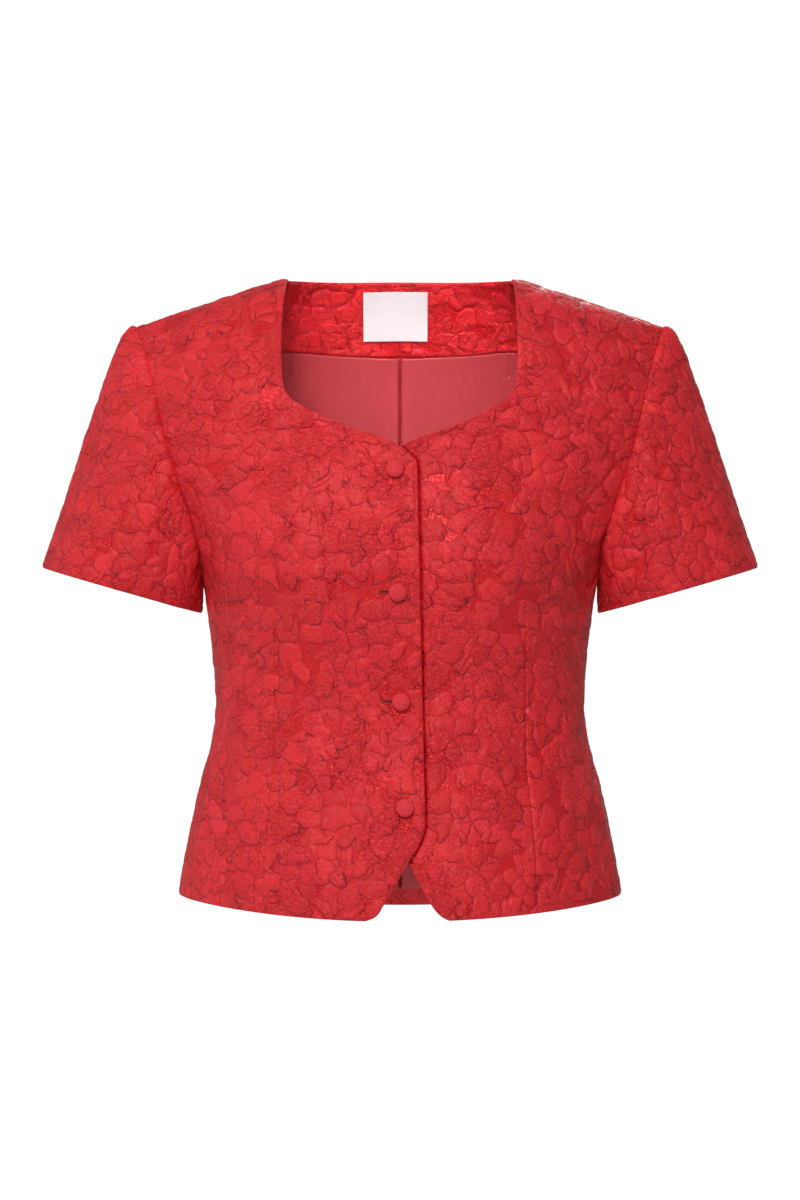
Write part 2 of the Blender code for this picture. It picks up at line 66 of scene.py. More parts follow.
# Grid lines of the drawn cloth: distances next to a rim, a dart, the shadow line beside
# the front edge and the lining's pleat
rimLines = np.array((0.0, 0.00012, 0.00035, 0.0008))
dartLines = np.array((0.0, 0.0008, 0.0020, 0.0035))
grooveLines = np.array((0.0, 0.0004, 0.0008, 0.0013, 0.0021))
pleatLines = np.array((0.0, 0.0003, 0.0007, 0.0012, 0.0020, 0.0034))
rimRadius = 0.0008
coarseStep = 3  # the inner face has every third line
pastShoulder = 0.0025  # reach past a seam, as a share of the height and as an angle
pastSide = 0.0033
aroundScale = 0.15  # metres round the body for each radian

# Channels of a grid, after the three of its position
angleChannel, heightChannel, acrossChannel, alongChannel, dartChannel = 3, 4, 5, 6, 7

# Tables of the form, in millimetres. First the level, then half width of the body form,
# depth in front and depth behind
bodyForm = (
    (-485.5, 173.6, 118, 119), (-449, 167.1, 114.5, 114), (-404, 157.6, 108, 104),
    (-358, 146.2, 101.5, 94.5), (-333, 143.8, 100, 92.5), (-300, 146.2, 104, 95),
    (-263, 150.5, 111, 101), (-240.6, 154.2, 115, 104.5), (-230, 157.4, 116, 106),
    (-211.8, 165.2, 115, 108), (-186.9, 180, 110.5, 109.5), (-163.9, 195, 105.5, 110),
    (-150, 204, 103, 110), (-120, 211, 100, 109), (-80, 213, 98.5, 107), (0, 213, 98, 106),
)

# Level, then distance of the armhole seam from the middle
armholeLine = (
    (-240.6, 154.2), (-230, 155.1), (-211.8, 156.3), (-186.9, 163.2), (-163.9, 171.5),
    (-140.9, 178.3), (-115, 184), (-90.6, 188.6), (-67, 193), (-44, 197.6), (-20, 203),
    (0, 208.5),
)

# Level, then each front's inner edge and dart line, measured towards its own side
frontLines = (
    (-485.5, 26.2, 37.5, 105), (-482.5, 18.8, 31.8, 104.9), (-473, 12, 23.5, 104.5),
    (-448, -4, 9, 103.7), (-427, -17.2, -3, 102), (-420, -19, -7, 101.4),
    (-408, -18.9, -11.7, 100.3), (-376, -18.2, -13, 96.8), (-270, -15.8, -16.5, 96),
    (-234, -15, -17.5, 93.5), (-190, -14, -18.8, 94), (-148.5, -13, -20, 98),
    (-145, -10.2, -15.2, 99.5), (-141, -6, -8.5, 101.3), (-136.5, 0, 0, 103.5),
    (-132, 9.7, 9.2, 106.5), (-127.5, 20, 20, 110), (-123, 35, 35, 114),
    (-117.5, 49.5, 49, 118.5), (-110.5, 64, 63, 123.5), (-103, 77.5, 76.5, 128),
    (-98.5, 84, 82.8, 130), (-92, 88.2, 87, 133), (-78, 90.7, 89.7, 137.5),
    (-55, 91.5, 90.5, 142.5), (-30, 91.2, 90.3, 145), (0, 88.5, 88.5, 146),
)


# A curve through the points of a table that doesn't overshoot between them
def smoothThrough(keys, values, at):
    steps = np.diff(keys)
    slopes = np.diff(values) / steps
    tangents = np.zeros(len(keys))
    tangents[0], tangents[-1] = slopes[0], slopes[-1]
    for i in range(1, len(keys) - 1):
        if slopes[i - 1] * slopes[i] > 0.0:
            before = 2.0 * steps[i] + steps[i - 1]
            after = steps[i] + 2.0 * steps[i - 1]
            tangents[i] = (before + after) / (before / slopes[i - 1] + after / slopes[i])
    at = np.clip(np.asarray(at, dtype=float), keys[0], keys[-1])
    i = np.clip(np.searchsorted(keys, at, side="right") - 1, 0, len(keys) - 2)
    t = (at - keys[i]) / steps[i]
    start = (1.0 + 2.0 * t) * (1.0 - t) ** 2 * values[i]
    start = start + t * (1.0 - t) ** 2 * steps[i] * tangents[i]
    end = t ** 2 * (3.0 - 2.0 * t) * values[i + 1]
    end = end + t ** 2 * (t - 1.0) * steps[i] * tangents[i + 1]
    return start + end


def fromTable(table, level, place):
    numbers = np.array(table) / 1000.0
    return smoothThrough(numbers[:, 0], numbers[:, place], level)


def halfWidth(level):
    return fromTable(bodyForm, level, 1)


def armholeOut(level):
    return fromTable(armholeLine, level, 1)


def softStep(value, low, high):
    t = np.clip((value - low) / (high - low), 0.0, 1.0)
    return t * t * (3.0 - 2.0 * t)


# The height h runs from -1 at the hem to 0 where the shoulder arch starts, and to 1
# on the shoulder seam. It turns into a level, which is the real height near the middle.
def levelOf(h):
    below = archLevel + h * (archLevel - hemLevel)
    above = archLevel * (1.0 - np.sin(h * math.pi / 2.0))
    return np.where(h < 0.0, below, above)


def heightOf(level):
    share = np.clip(1.0 - level / archLevel, -1.0, 1.0)
    above = np.arcsin(np.maximum(share, 0.0)) * 2.0 / math.pi
    below = (level - archLevel) / (archLevel - hemLevel)
    return np.where(level < archLevel, below, above)


def shoulderDrop(x):
    past = (np.abs(x) - neckHalf) / neckRounding
    return shoulderSlope * neckRounding * np.logaddexp(0.0, past)


# The section angle is 0 in the middle of a panel and a right angle at the side
def angleAt(x, level):
    ratio = np.clip(np.abs(x) / halfWidth(level), 0.0, 1.0)
    return np.sign(x) * np.arcsin(ratio ** (sectionPower / 2.0))


def section(angle, level):
    power = 2.0 / sectionPower
    across = np.sign(angle) * np.abs(np.sin(angle)) ** power
    deep = np.sign(np.cos(angle)) * np.abs(np.cos(angle)) ** power
    return halfWidth(level) * across, deep


def realHeight(x, h, drop):
    level = levelOf(h)
    inNeck = 1.0 - softStep(np.abs(x), 0.0, neckHalf)
    top = neckBackRise * (drop == hemDropBack) * inNeck
    arch = archLevel + (top - shoulderDrop(x) - archLevel) * np.sin(h * math.pi / 2.0)
    fade = 1.0 - softStep(level, hemLevel, hemLevel + hemDropHeight)
    fall = drop * fade * np.clip(1.0 - (x / halfWidth(level)) ** 2, 0.0, 1.0)
    return np.where(h < 0.0, level - fall, arch)


# Middle of the front cloth
def frontSurface(angle, h):
    level = levelOf(h)
    x, deep = section(angle, level)
    z = realHeight(x, h, hemDropFront)
    arch = np.where(h > 0.0, np.cos(h * math.pi / 2.0), 1.0)
    across = (np.abs(x) - bustApex) / bustSpread
    up = (z - bustLevel) / bustSpread
    bust = bustRise * np.exp(-across ** 2 - up ** 2) * np.cos(angle)
    y = -(fromTable(bodyForm, level, 2) * deep + bust) * arch - seamGap / 2.0
    return np.stack([x, y, z], axis=-1)


# Middle of the back cloth; its neck edge stands behind the shoulder line
def backSurface(angle, h):
    level = levelOf(h)
    x, deep = section(angle, level)
    z = realHeight(x, h, hemDropBack)
    turn = np.cos(h * math.pi / 2.0)
    ridge = np.clip(np.sin(h * math.pi / 2.0), 0.0, 1.0) ** 8
    roundEdge = np.clip(1.0 - (x / neckHalf) ** 2, 0.0, 1.0) ** 0.5
    blended = np.exp(-np.abs(x / neckHalf) ** 3)
    edge = neckBackDepth * (roundEdge * ridge + blended * (1.0 - ridge))
    power = 2.0 - softStep(np.abs(x), 0.2 * neckHalf, 1.7 * neckHalf)
    arch = np.where(h > 0.0, np.sign(turn) * np.abs(turn) ** power, 1.0)
    rest = fromTable(bodyForm, level, 3) * deep
    y = np.where(h > 0.0, edge + (rest - edge) * arch, rest) + seamGap / 2.0
    return np.stack([x, y, z], axis=-1)


def outAngle(h):
    level = levelOf(h)
    toArmhole = angleAt(armholeOut(level), level)
    return np.where(level <= underarmLevel, math.pi / 2.0, toArmhole)


# Length from the start of each row
def lengthsAlong(grid):
    steps = np.linalg.norm(np.diff(grid[..., :3], axis=1), axis=-1)
    return np.concatenate([np.zeros((len(grid), 1)), np.cumsum(steps, axis=1)], axis=1)


# The same rows, with their points at the target lengths
def respace(grid, targets):
    lengths = lengthsAlong(grid)
    made = np.empty((len(grid), targets.shape[1], grid.shape[2]))
    for i in range(len(grid)):
        for k in range(grid.shape[2]):
            made[i, :, k] = np.interp(targets[i], lengths[i], grid[i, :, k])
    return made


# Lengths from low to high for each row: even ones, with the given ones near both ends
def spread(low, high, count, nearLow, nearHigh):
    low = np.asarray(low, dtype=float)[:, None]
    high = np.asarray(high, dtype=float)[:, None]
    start = low + nearLow
    end = high - nearHigh[..., ::-1]
    share = np.linspace(0.0, 1.0, count + 1)[1:-1]
    between = start[:, -1:] + (end[:, :1] - start[:, -1:]) * share
    return np.concatenate([start, between, end], axis=1)


def turned(grid):
    return grid.transpose(1, 0, 2)


def evenRows(grid, count):
    total = lengthsAlong(grid)[:, -1]
    return respace(grid, spread(np.zeros(len(total)), total, count, rimLines, rimLines))


def evenColumns(grid, count):
    return turned(evenRows(turned(grid), count))


def withChannels(points, *values):
    values = [value + np.zeros(points.shape[:2]) for value in values]
    return np.concatenate([points, np.stack(values, axis=-1)], axis=-1)


# Unit normals, on the side from which columns run right and rows run up
def gridNormals(points):
    normals = np.cross(np.gradient(points, axis=1), np.gradient(points, axis=0))
    return normals / np.linalg.norm(normals, axis=-1, keepdims=True)


# Distance of each point from the nearest border, measured square to it
def borderDistance(points):
    nearest = np.full(points.shape[:2], 1.0)
    for side in range(4):
        view = points if side < 2 else turned(points)
        seen = nearest if side < 2 else nearest.T
        order = slice(None) if side % 2 == 0 else slice(None, None, -1)
        border = view[:, order][:, 0]
        way = np.gradient(border, axis=0)
        way = way / np.linalg.norm(way, axis=1, keepdims=True)
        for k in range(10):
            gap = view[:, order][:, k] - border
            gap = gap - way * np.sum(gap * way, axis=1, keepdims=True)
            place = k if side % 2 == 0 else -1 - k
            seen[:, place] = np.minimum(seen[:, place], np.linalg.norm(gap, axis=1))
    return nearest


# Soft folds: where one starts and ends (around the body and up it, in millimetres), its
# height and its half width. A fold below zero is a trough.
frontRightFolds = (
    (205, -182, 120, -268, 1.7, 9), (222, -205, 150, -292, -1.3, 7.5),
    (232, -318, 135, -352, 1.5, 8.5), (226, -345, 120, -338, -1, 7),
    (175, -385, 188, -486, 1.6, 11), (135, -405, 146, -486, -1.2, 9.5),
    (85, -415, 92, -486, 1.1, 10), (150, -70, 118, -165, 1.1, 9.5),
    (172, -105, 165, -190, -1, 8), (70, -285, 110, -318, -0.8, 7),
)
frontLeftFolds = (
    (198, -160, 128, -244, 2, 8), (214, -186, 152, -262, -1.4, 7),
    (226, -214, 168, -290, 1.3, 7.5), (232, -330, 128, -318, 1.4, 8),
    (228, -356, 146, -372, -1.2, 8), (196, -398, 205, -486, 1.5, 10),
    (152, -390, 158, -486, -1.3, 11), (112, -430, 118, -486, 1, 9), (146, -60, 124, -150, 1, 9),
    (80, -150, 120, -205, 0.9, 8),
)
backFolds = (
    (-210, -150, -90, -220, 1.8, 10), (-215, -182, -110, -262, -1.4, 9),
    (205, -140, 80, -196, 1.6, 10), (220, -176, 120, -250, -1.2, 8.5),
    (-228, -322, -60, -338, 1.6, 8.5), (-190, -352, -30, -356, -1.1, 7.5),
    (226, -330, 90, -318, 1.4, 9), (210, -300, 60, -346, -1, 7),
    (-160, -400, -172, -486, 1.8, 12), (-112, -385, -108, -486, -1.4, 11),
    (-52, -410, -48, -486, 1.5, 12), (20, -395, 16, -486, -1.1, 12),
    (74, -405, 80, -486, 1.6, 11.5), (138, -392, 150, -486, -1.3, 11),
    (190, -410, 202, -486, 1.4, 10), (-40, -30, -75, -120, 0.9, 9),
    (52, -26, 70, -104, 0.8, 8.5),
)
# Round the sleeve from the underarm seam, and down it from the armhole
sleeveRightFolds = (
    (60, 20, 105, 170, 1.5, 9), (92, 30, 140, 150, -1.1, 8), (300, 25, 255, 165, 1.4, 9),
    (335, 20, 320, 120, -1, 7), (150, 80, 235, 110, 0.8, 8), (370, 30, 345, 150, 1.1, 7),
)
sleeveLeftFolds = (
    (48, 15, 88, 150, 1.4, 8), (84, 45, 122, 175, -1.2, 8.5), (128, 60, 168, 160, 1, 8),
    (318, 20, 270, 150, 1.5, 9), (352, 30, 330, 140, -1, 7),
)
liningFolds = (
    (-105, -75, -98, -300, 1.2, 6), (-60, -70, -52, -420, 1.4, 7),
    (-30, -90, -26, -300, 0.8, 4.5), (38, -68, 30, -360, 1.2, 6), (74, -72, 85, -280, 1.4, 7.5),
    (118, -66, 112, -400, 1.2, 6), (-150, -110, -142, -330, 1.2, 8),
    (160, -100, 156, -340, 1.2, 8),
)


# Height that the folds add, each tapered at both ends
def foldLift(around, level, folds):
    lift = np.zeros(np.broadcast(around, level).shape)
    for fold in folds:
        startAround, startLevel, endAround, endLevel, height, width = np.array(fold) / 1000.0
        way = np.array([endAround - startAround, endLevel - startLevel])
        size = np.linalg.norm(way)
        gap = (around - startAround, level - startLevel)
        along = (gap[0] * way[0] + gap[1] * way[1]) / size ** 2
        aside = (gap[0] * way[1] - gap[1] * way[0]) / size
        taper = softStep(along, -0.12, 0.38) * (1.0 - softStep(along, 0.60, 1.15))
        lift += height * taper * np.exp(-(aside / width) ** 2)
    return lift


darts = {
    "depth": 0.0012, "sharpness": 0.0013, "fade": 0.050, "front tip": -0.250,
    "back low": -0.400, "back high": -0.230, "back column": 4, "column spacing": 0.015,
}
frontSize = {
    "rows": 330, "columns to the dart": 70, "columns past the dart": 62, "columns under": 14,
    "overlap lift": 0.00115, "overlap full": 0.024, "overlap start": 0.045,
    "groove away": 0.0011, "groove half": 0.0012, "groove depth": 0.0046,
    "flat within": 0.045, "folds from": 0.075, "covered to": 0.021, "petals from": 0.027,
}


# The right front lies on the left one where they cross; x runs to the own side
def overlapAt(x, side):
    reach = 1.0 - softStep(x, frontSize["overlap full"], frontSize["overlap start"])
    return frontSize["overlap lift"] * reach * (1.0 if side < 0 else -1.0)


# Fine grid of a front's middle surface, and the length of each row up to the dart
def denseFront(edgePlace):
    pastSeam = np.linspace(0.9, 1.0 + pastShoulder, 110)[1:]
    h = np.concatenate([np.linspace(-1.0, 0.9, 520), pastSeam])[:, None]
    level = levelOf(h)
    inner = angleAt(fromTable(frontLines, level, edgePlace), level)
    dart = angleAt(fromTable(frontLines, level, 3), level)
    outer = outAngle(h) + pastSide
    share = np.linspace(0.0, 1.0, 260)
    angles = [inner + (dart - inner) * share, dart + (outer - dart) * share[1:]]
    angles = np.concatenate(angles, axis=1)
    points = frontSurface(angles, h)
    lengths = lengthsAlong(points)
    toEdge = frontSurface(inner * share[::8], h)
    start = lengthsAlong(toEdge)[:, -1:] * np.sign(inner)
    toDart = lengths[:, len(share) - 1]
    up = lengthsAlong(points[:, len(share) - 1][None])[0][:, None]
    grid = withChannels(points, angles, h, lengths + start, up, lengths - toDart[:, None])
    return grid, toDart


# Lengths of the columns between the inner edge and the dart. The front that lies under
# has close columns where the other front's edge casts its line.
def columnsToDart(grid, side, toDart):
    edge = np.gradient(grid[:, 0, :3], axis=0)
    row = grid[:, 1, :3] - grid[:, 0, :3]
    square = np.linalg.norm(np.cross(edge, row), axis=1)
    square = square / (np.linalg.norm(edge, axis=1) * np.linalg.norm(row, axis=1))
    nearEdge = rimLines / np.maximum(square, 0.3)[:, None]
    none, count = np.zeros(len(toDart)), frontSize["columns to the dart"]
    if side < 0:
        return spread(none, toDart, count, nearEdge, dartLines)
    lengths = lengthsAlong(grid)
    edgeOut = fromTable(frontLines, levelOf(grid[:, 0, heightChannel]), 1)
    beside = frontSize["groove away"] - edgeOut
    toGroove = [np.interp(beside[i], grid[i, :, 0], lengths[i]) for i in range(len(grid))]
    toGroove = np.clip(toGroove, 0.008, toDart - 0.010)
    under = spread(none, toGroove, frontSize["columns under"], nearEdge, grooveLines)
    count = count - frontSize["columns under"] - len(grooveLines) * 2 + 1
    shown = spread(toGroove, toDart, count, grooveLines, dartLines)
    return np.concatenate([under, shown[:, 1:]], axis=1)


def frontCloth(side, edgePlace, folds):
    grid, toDart = denseFront(edgePlace)
    total = lengthsAlong(grid)[:, -1]
    inner = columnsToDart(grid, side, toDart)
    outer = spread(toDart, total, frontSize["columns past the dart"], dartLines, rimLines)
    grid = respace(grid, np.concatenate([inner, outer[:, 1:]], axis=1))
    grid = evenColumns(grid, frontSize["rows"])
    points = grid[..., :3]
    level = levelOf(grid[..., heightChannel])
    lift = overlapAt(points[..., 0], side)
    fade = 1.0 - softStep(level, darts["front tip"] - darts["fade"], darts["front tip"])
    fromDart = np.abs(grid[..., dartChannel])
    lift -= darts["depth"] * fade * np.exp(-fromDart / darts["sharpness"])
    if side > 0:
        beside = points[..., 0] + fromTable(frontLines, level, 1) - frontSize["groove away"]
        groove = np.exp(-(beside / frontSize["groove half"]) ** 2)
        lift -= frontSize["groove depth"] * groove
    away = softStep(points[..., 0], frontSize["flat within"], frontSize["folds from"])
    lift += away * foldLift(grid[..., angleChannel] * aroundScale, level, folds)
    grid[..., :3] = points + gridNormals(points) * lift[..., None]
    return grid


# The back's columns are numbered from its middle: 0 to 6 cross the neck, 6 to 13 the side
backSize = {"rows": 280, "columns": 262}
neckColumns = 6
sideColumns = 7


def acrossNeck(column):
    share = np.clip(np.abs(column) / neckColumns, 0.0, 1.0)
    return neckHalf * np.sin(share * math.pi / 2.0)


def backAngle(column, h):
    level = levelOf(h)
    size = np.abs(column)
    edgeAngle = angleAt(neckHalf, level)
    share = np.maximum(size - neckColumns, 0.0) / sideColumns
    pastNeck = edgeAngle + share * (outAngle(h) - edgeAngle)
    angle = np.where(size <= neckColumns, angleAt(acrossNeck(column), level), pastNeck)
    return np.sign(column) * angle


# Fine grid of the back's middle surface, folds and darts included, with its channels
def backGrid(columns, h):
    column = columns + 0.0 * h
    extra = np.abs(column) > neckColumns + sideColumns - 0.001
    angles = backAngle(column, h) + np.sign(column) * pastSide * extra
    points = backSurface(angles, h)
    level = levelOf(h) + 0.0 * column
    low, high, fade = darts["back low"], darts["back high"], darts["fade"]
    sunk = softStep(level, low - fade, low) * (1.0 - softStep(level, high - fade, high))
    fromDart = (np.abs(column) - darts["back column"]) * darts["column spacing"]
    lift = -darts["depth"] * sunk * np.exp(-np.abs(fromDart) / darts["sharpness"])
    lift += foldLift(angles * aroundScale, level, backFolds)
    points = points - gridNormals(points) * lift[..., None]
    lengths = lengthsAlong(points)
    middle = np.array([np.interp(0.0, column[i], lengths[i]) for i in range(len(column))])
    along = lengthsAlong(turned(points)).T
    along = along[:, along.shape[1] // 2][:, None]
    return withChannels(points, angles, h, lengths - middle[:, None], along)


def backCloth():
    pastSeam = np.linspace(0.9, 1.0 + pastShoulder, 140)[1:]
    h = np.concatenate([np.linspace(-1.0, 0.9, 520), pastSeam])
    ends = neckColumns + sideColumns
    places = np.concatenate([[-ends], np.linspace(-ends + 0.01, ends - 0.01, 760), [ends]])
    grid = backGrid(places[None, :], h[:, None])
    return evenColumns(evenRows(grid, backSize["columns"]), backSize["rows"])


# A layer inside the back. columns runs across it, low and high are its h at each one, and
# ownForm is what it stands off by itself. Lines may be close beside its middle.
def layerCloth(columns, low, high, inset, size, ownForm, middleLines=None):
    h = low + (high - low) * np.linspace(0.0, 1.0, 420)[:, None]
    grid = backGrid(columns[None, :], h)
    points = grid[..., :3]
    x = neckHalf * np.sin(np.clip(columns / neckColumns, -1.0, 1.0) * math.pi / 2.0)
    around = grid[..., angleChannel] * aroundScale
    depth = inset + np.zeros(points.shape[:2])
    depth = depth + ownForm(x[None, :], around, levelOf(h))
    grid[..., :3] = points + gridNormals(points) * depth[..., None]
    if middleLines is None:
        return evenColumns(evenRows(grid, size["columns"]), size["rows"])
    lengths = lengthsAlong(grid)
    total, half = lengths[:, -1], size["columns"] // 2
    middle = lengths[:, np.argmin(np.abs(columns))]
    near = spread(np.zeros(len(total)), middle, half, rimLines, middleLines)
    far = spread(middle, total, half, middleLines, rimLines)
    grid = respace(grid, np.concatenate([near, far[:, 1:]], axis=1))
    return evenColumns(grid, size["rows"])


facingSize = {
    "rows": 58, "columns": 230, "half width": 0.112, "level": -0.057, "side rise": 0.0085,
    "top": 0.985, "seam depth": 0.0005, "seam half": 0.0009,
}
innerLayer = wall / 2.0 + layerGap + thinWall / 2.0


def facingLow(x):
    out = np.clip(np.abs(x) / facingSize["half width"], 0.0, 1.0)
    return facingSize["level"] + facingSize["side rise"] * out ** 2


def backNeckFacing():
    level, half = facingSize["level"], facingSize["half width"]
    edge = float(angleAt(neckHalf, level))
    out = float(outAngle(heightOf(level)))
    end = neckColumns + sideColumns * (float(angleAt(half, level)) - edge) / (out - edge)
    columns = np.linspace(-end, end, 500)
    inNeck = neckHalf * np.sin(columns / neckColumns * math.pi / 2.0)
    x = np.where(np.abs(columns) <= neckColumns, inNeck, half * columns / end)
    low = heightOf(facingLow(x))

    def middleSeam(x, around, level):
        return -facingSize["seam depth"] * np.exp(-(x / facingSize["seam half"]) ** 2)

    top = facingSize["top"] + 0.0 * low
    return layerCloth(columns, low, top, innerLayer, facingSize, middleSeam)


liningSize = {
    "rows": 190, "columns": 210, "hem": -0.4715, "margin": 1.0, "side column width": 0.0163,
    "pleat at the top": 0.0038, "pleat below": 0.0072, "deepest from": 0.22,
    "pleat half": 0.020, "slit half": 0.0010, "far side": 0.72,
}


# The lining hangs from the facing. Beside the middle it opens into a pleat, deeper further
# down, with a slit where its two folds meet.
def backLining():
    end = neckColumns + sideColumns - liningSize["margin"]
    nearMiddle = np.linspace(-0.45, 0.45, 160)
    columns = np.sort(np.concatenate([np.linspace(-end, end, 561), nearMiddle]))
    pastNeck = np.maximum(np.abs(columns) - neckColumns, 0.0) * liningSize["side column width"]
    low = float(heightOf(liningSize["hem"])) + 0.0 * columns
    high = heightOf(facingLow(acrossNeck(columns) + pastNeck) - seamGap)

    def ownFolds(x, around, level):
        top, below = liningSize["pleat at the top"], liningSize["pleat below"]
        down = softStep(-level, -facingSize["level"], liningSize["deepest from"])
        deep = top + (below - top) * down
        pleat = deep * np.exp(-(x / liningSize["pleat half"]) ** 2)
        pleat = pleat * np.where(x < 0.0, 1.0, liningSize["far side"])
        painted_slit_shade = deep * np.exp(-(x / liningSize["slit half"]) ** 2)
        return pleat - painted_slit_shade + foldLift(around, level, liningFolds)

    return layerCloth(columns, low, high, innerLayer, liningSize, ownFolds, pleatLines)


labelSize = {
    "rows": 76, "columns": 104, "width": 0.0527, "height": 0.0380, "centre": -0.0037,
    "top": -0.0060, "inset": 0.0031, "loose": 0.0014, "waves": (0.00016, 0.00012),
}


def wovenLabel():
    half, height, top = labelSize["width"] / 2.0, labelSize["height"], labelSize["top"]
    sides = [labelSize["centre"] - half, labelSize["centre"] + half]
    sides = [neckColumns * math.asin(x / neckHalf) * 2.0 / math.pi for x in sides]
    columns = np.linspace(*sides, 200)

    def softWaves(x, around, level):
        wave = labelSize["waves"][0] * np.sin(x * 190.0 + level * 60.0)
        wave = wave + labelSize["waves"][1] * np.sin(level * 230.0 + 1.0)
        return wave + labelSize["loose"] * softStep(top - level, 0.4 * height, height)

    low, high = [float(heightOf(level)) + 0.0 * columns for level in (top - height, top)]
    return layerCloth(columns, low, high, labelSize["inset"], labelSize, softWaves)


# The first part of the sleeve: how it leaves the armhole at the head, at the sides and
# under the arm, as its start beside the seam, the way it rolls, and how far
sleeveStart = (
    ("head", (0.0012, 0.0, 0.0010), (0.997, 0.0, -0.080), 0.0125),
    ("side", (0.0014, 0.0006, 0.0), (0.620, 0.400, -0.660), 0.0100),
    ("under", (0.0023, 0.0, 0.0006), (0.120, 0.0, -0.990), 0.0040),
)
sleeveSize = {
    "rows": 105, "columns": 285, "cuff middle": (0.2197, 0.004, -0.2465),
    "cuff half width": 0.0648, "cuff half depth": 0.052, "cuff tilt in degrees": 16.0,
    "bulge": 0.006, "bulge from": 0.2, "girth": 0.415, "seam": 0.0002, "tuck": 0.05,
}


# Points round the armhole; turn is 0 at the shoulder, 1 under the arm, forward first
def armholeRing(turn):
    heights = np.linspace(1.0, float(heightOf(underarmLevel)), 900)
    ahead = frontSurface(outAngle(heights), heights)
    behind = backSurface(outAngle(heights), heights)
    ring = np.concatenate([ahead, behind[::-1]])
    length = lengthsAlong(ring[None])[0]
    halfWay = length[len(heights) - 1]
    turn = np.mod(turn, 2.0)
    past = halfWay + (turn - 1.0) * (length[-1] - halfWay)
    at = np.where(turn < 1.0, turn * halfWay, past)
    return np.stack([np.interp(at, length, ring[:, k]) for k in range(3)], axis=-1)


# Rows from the armhole to the cuff, each once round from the underarm seam
def denseSleeve():
    turn = np.linspace(1.0 + sleeveSize["seam"], 3.0 - sleeveSize["seam"], 900)
    start = armholeRing(turn)
    turn = turn * math.pi
    weights = {
        "head": np.maximum(np.cos(turn), 0.0) ** 2,
        "side": np.sin(turn) ** 2,
        "under": np.maximum(-np.cos(turn), 0.0) ** 2,
    }
    roll, reach = np.zeros(start.shape), np.zeros(len(turn))
    one = np.ones(len(turn))
    forward = np.stack([one, -np.sign(np.sin(turn)), one], axis=-1)
    for place, offset, way, length in sleeveStart:
        weight = weights[place][:, None]
        start = start + weight * forward * np.array(offset)
        roll += weight * forward * np.array(way)
        reach += weights[place] * length
    roll = roll / np.linalg.norm(roll, axis=1, keepdims=True)
    tilt = math.radians(sleeveSize["cuff tilt in degrees"])
    wide = np.array([math.cos(tilt), 0.0, math.sin(tilt)]) * sleeveSize["cuff half width"]
    cuff = np.array(sleeveSize["cuff middle"]) + np.cos(turn)[:, None] * wide
    cuff[:, 1] -= np.sin(turn) * sleeveSize["cuff half depth"]
    radial = [np.maximum(np.cos(turn), 0.0), -np.sin(turn), np.zeros(len(turn))]
    near = start + roll * reach[:, None]
    far = start + (cuff - start) * sleeveSize["bulge from"]
    far = far + np.stack(radial, axis=-1) * sleeveSize["bulge"]
    tuck = sleeveSize["tuck"]
    t = np.concatenate([[-tuck, -tuck / 2.0], np.linspace(0.0, 1.0, 300) ** 1.15])
    t = t[:, None, None]
    points = start * (1 - t) ** 3 + near * 3 * t * (1 - t) ** 2
    points = points + far * 3 * t ** 2 * (1 - t) + cuff * t ** 3
    around = (turn - math.pi) * sleeveSize["girth"] / (2.0 * math.pi)
    down = lengthsAlong(turned(points)).T
    return withChannels(points, around, down, around, down[-1:] - down)


def sleeveCloth(folds):
    grid = evenColumns(evenRows(denseSleeve(), sleeveSize["columns"]), sleeveSize["rows"])
    lift = foldLift(grid[..., angleChannel], grid[..., heightChannel], folds)
    lift = lift * softStep(grid[..., heightChannel], 0.004, 0.030)
    grid[..., :3] += gridNormals(grid[..., :3]) * lift[..., None]
    return grid


# Interior lines of the inner face, from the end of one rim to the start of the other
def coarseLines(count):
    first, last = len(rimLines) - 1, count - len(rimLines)
    return np.unique(np.append(np.arange(first, last, coarseStep), last))


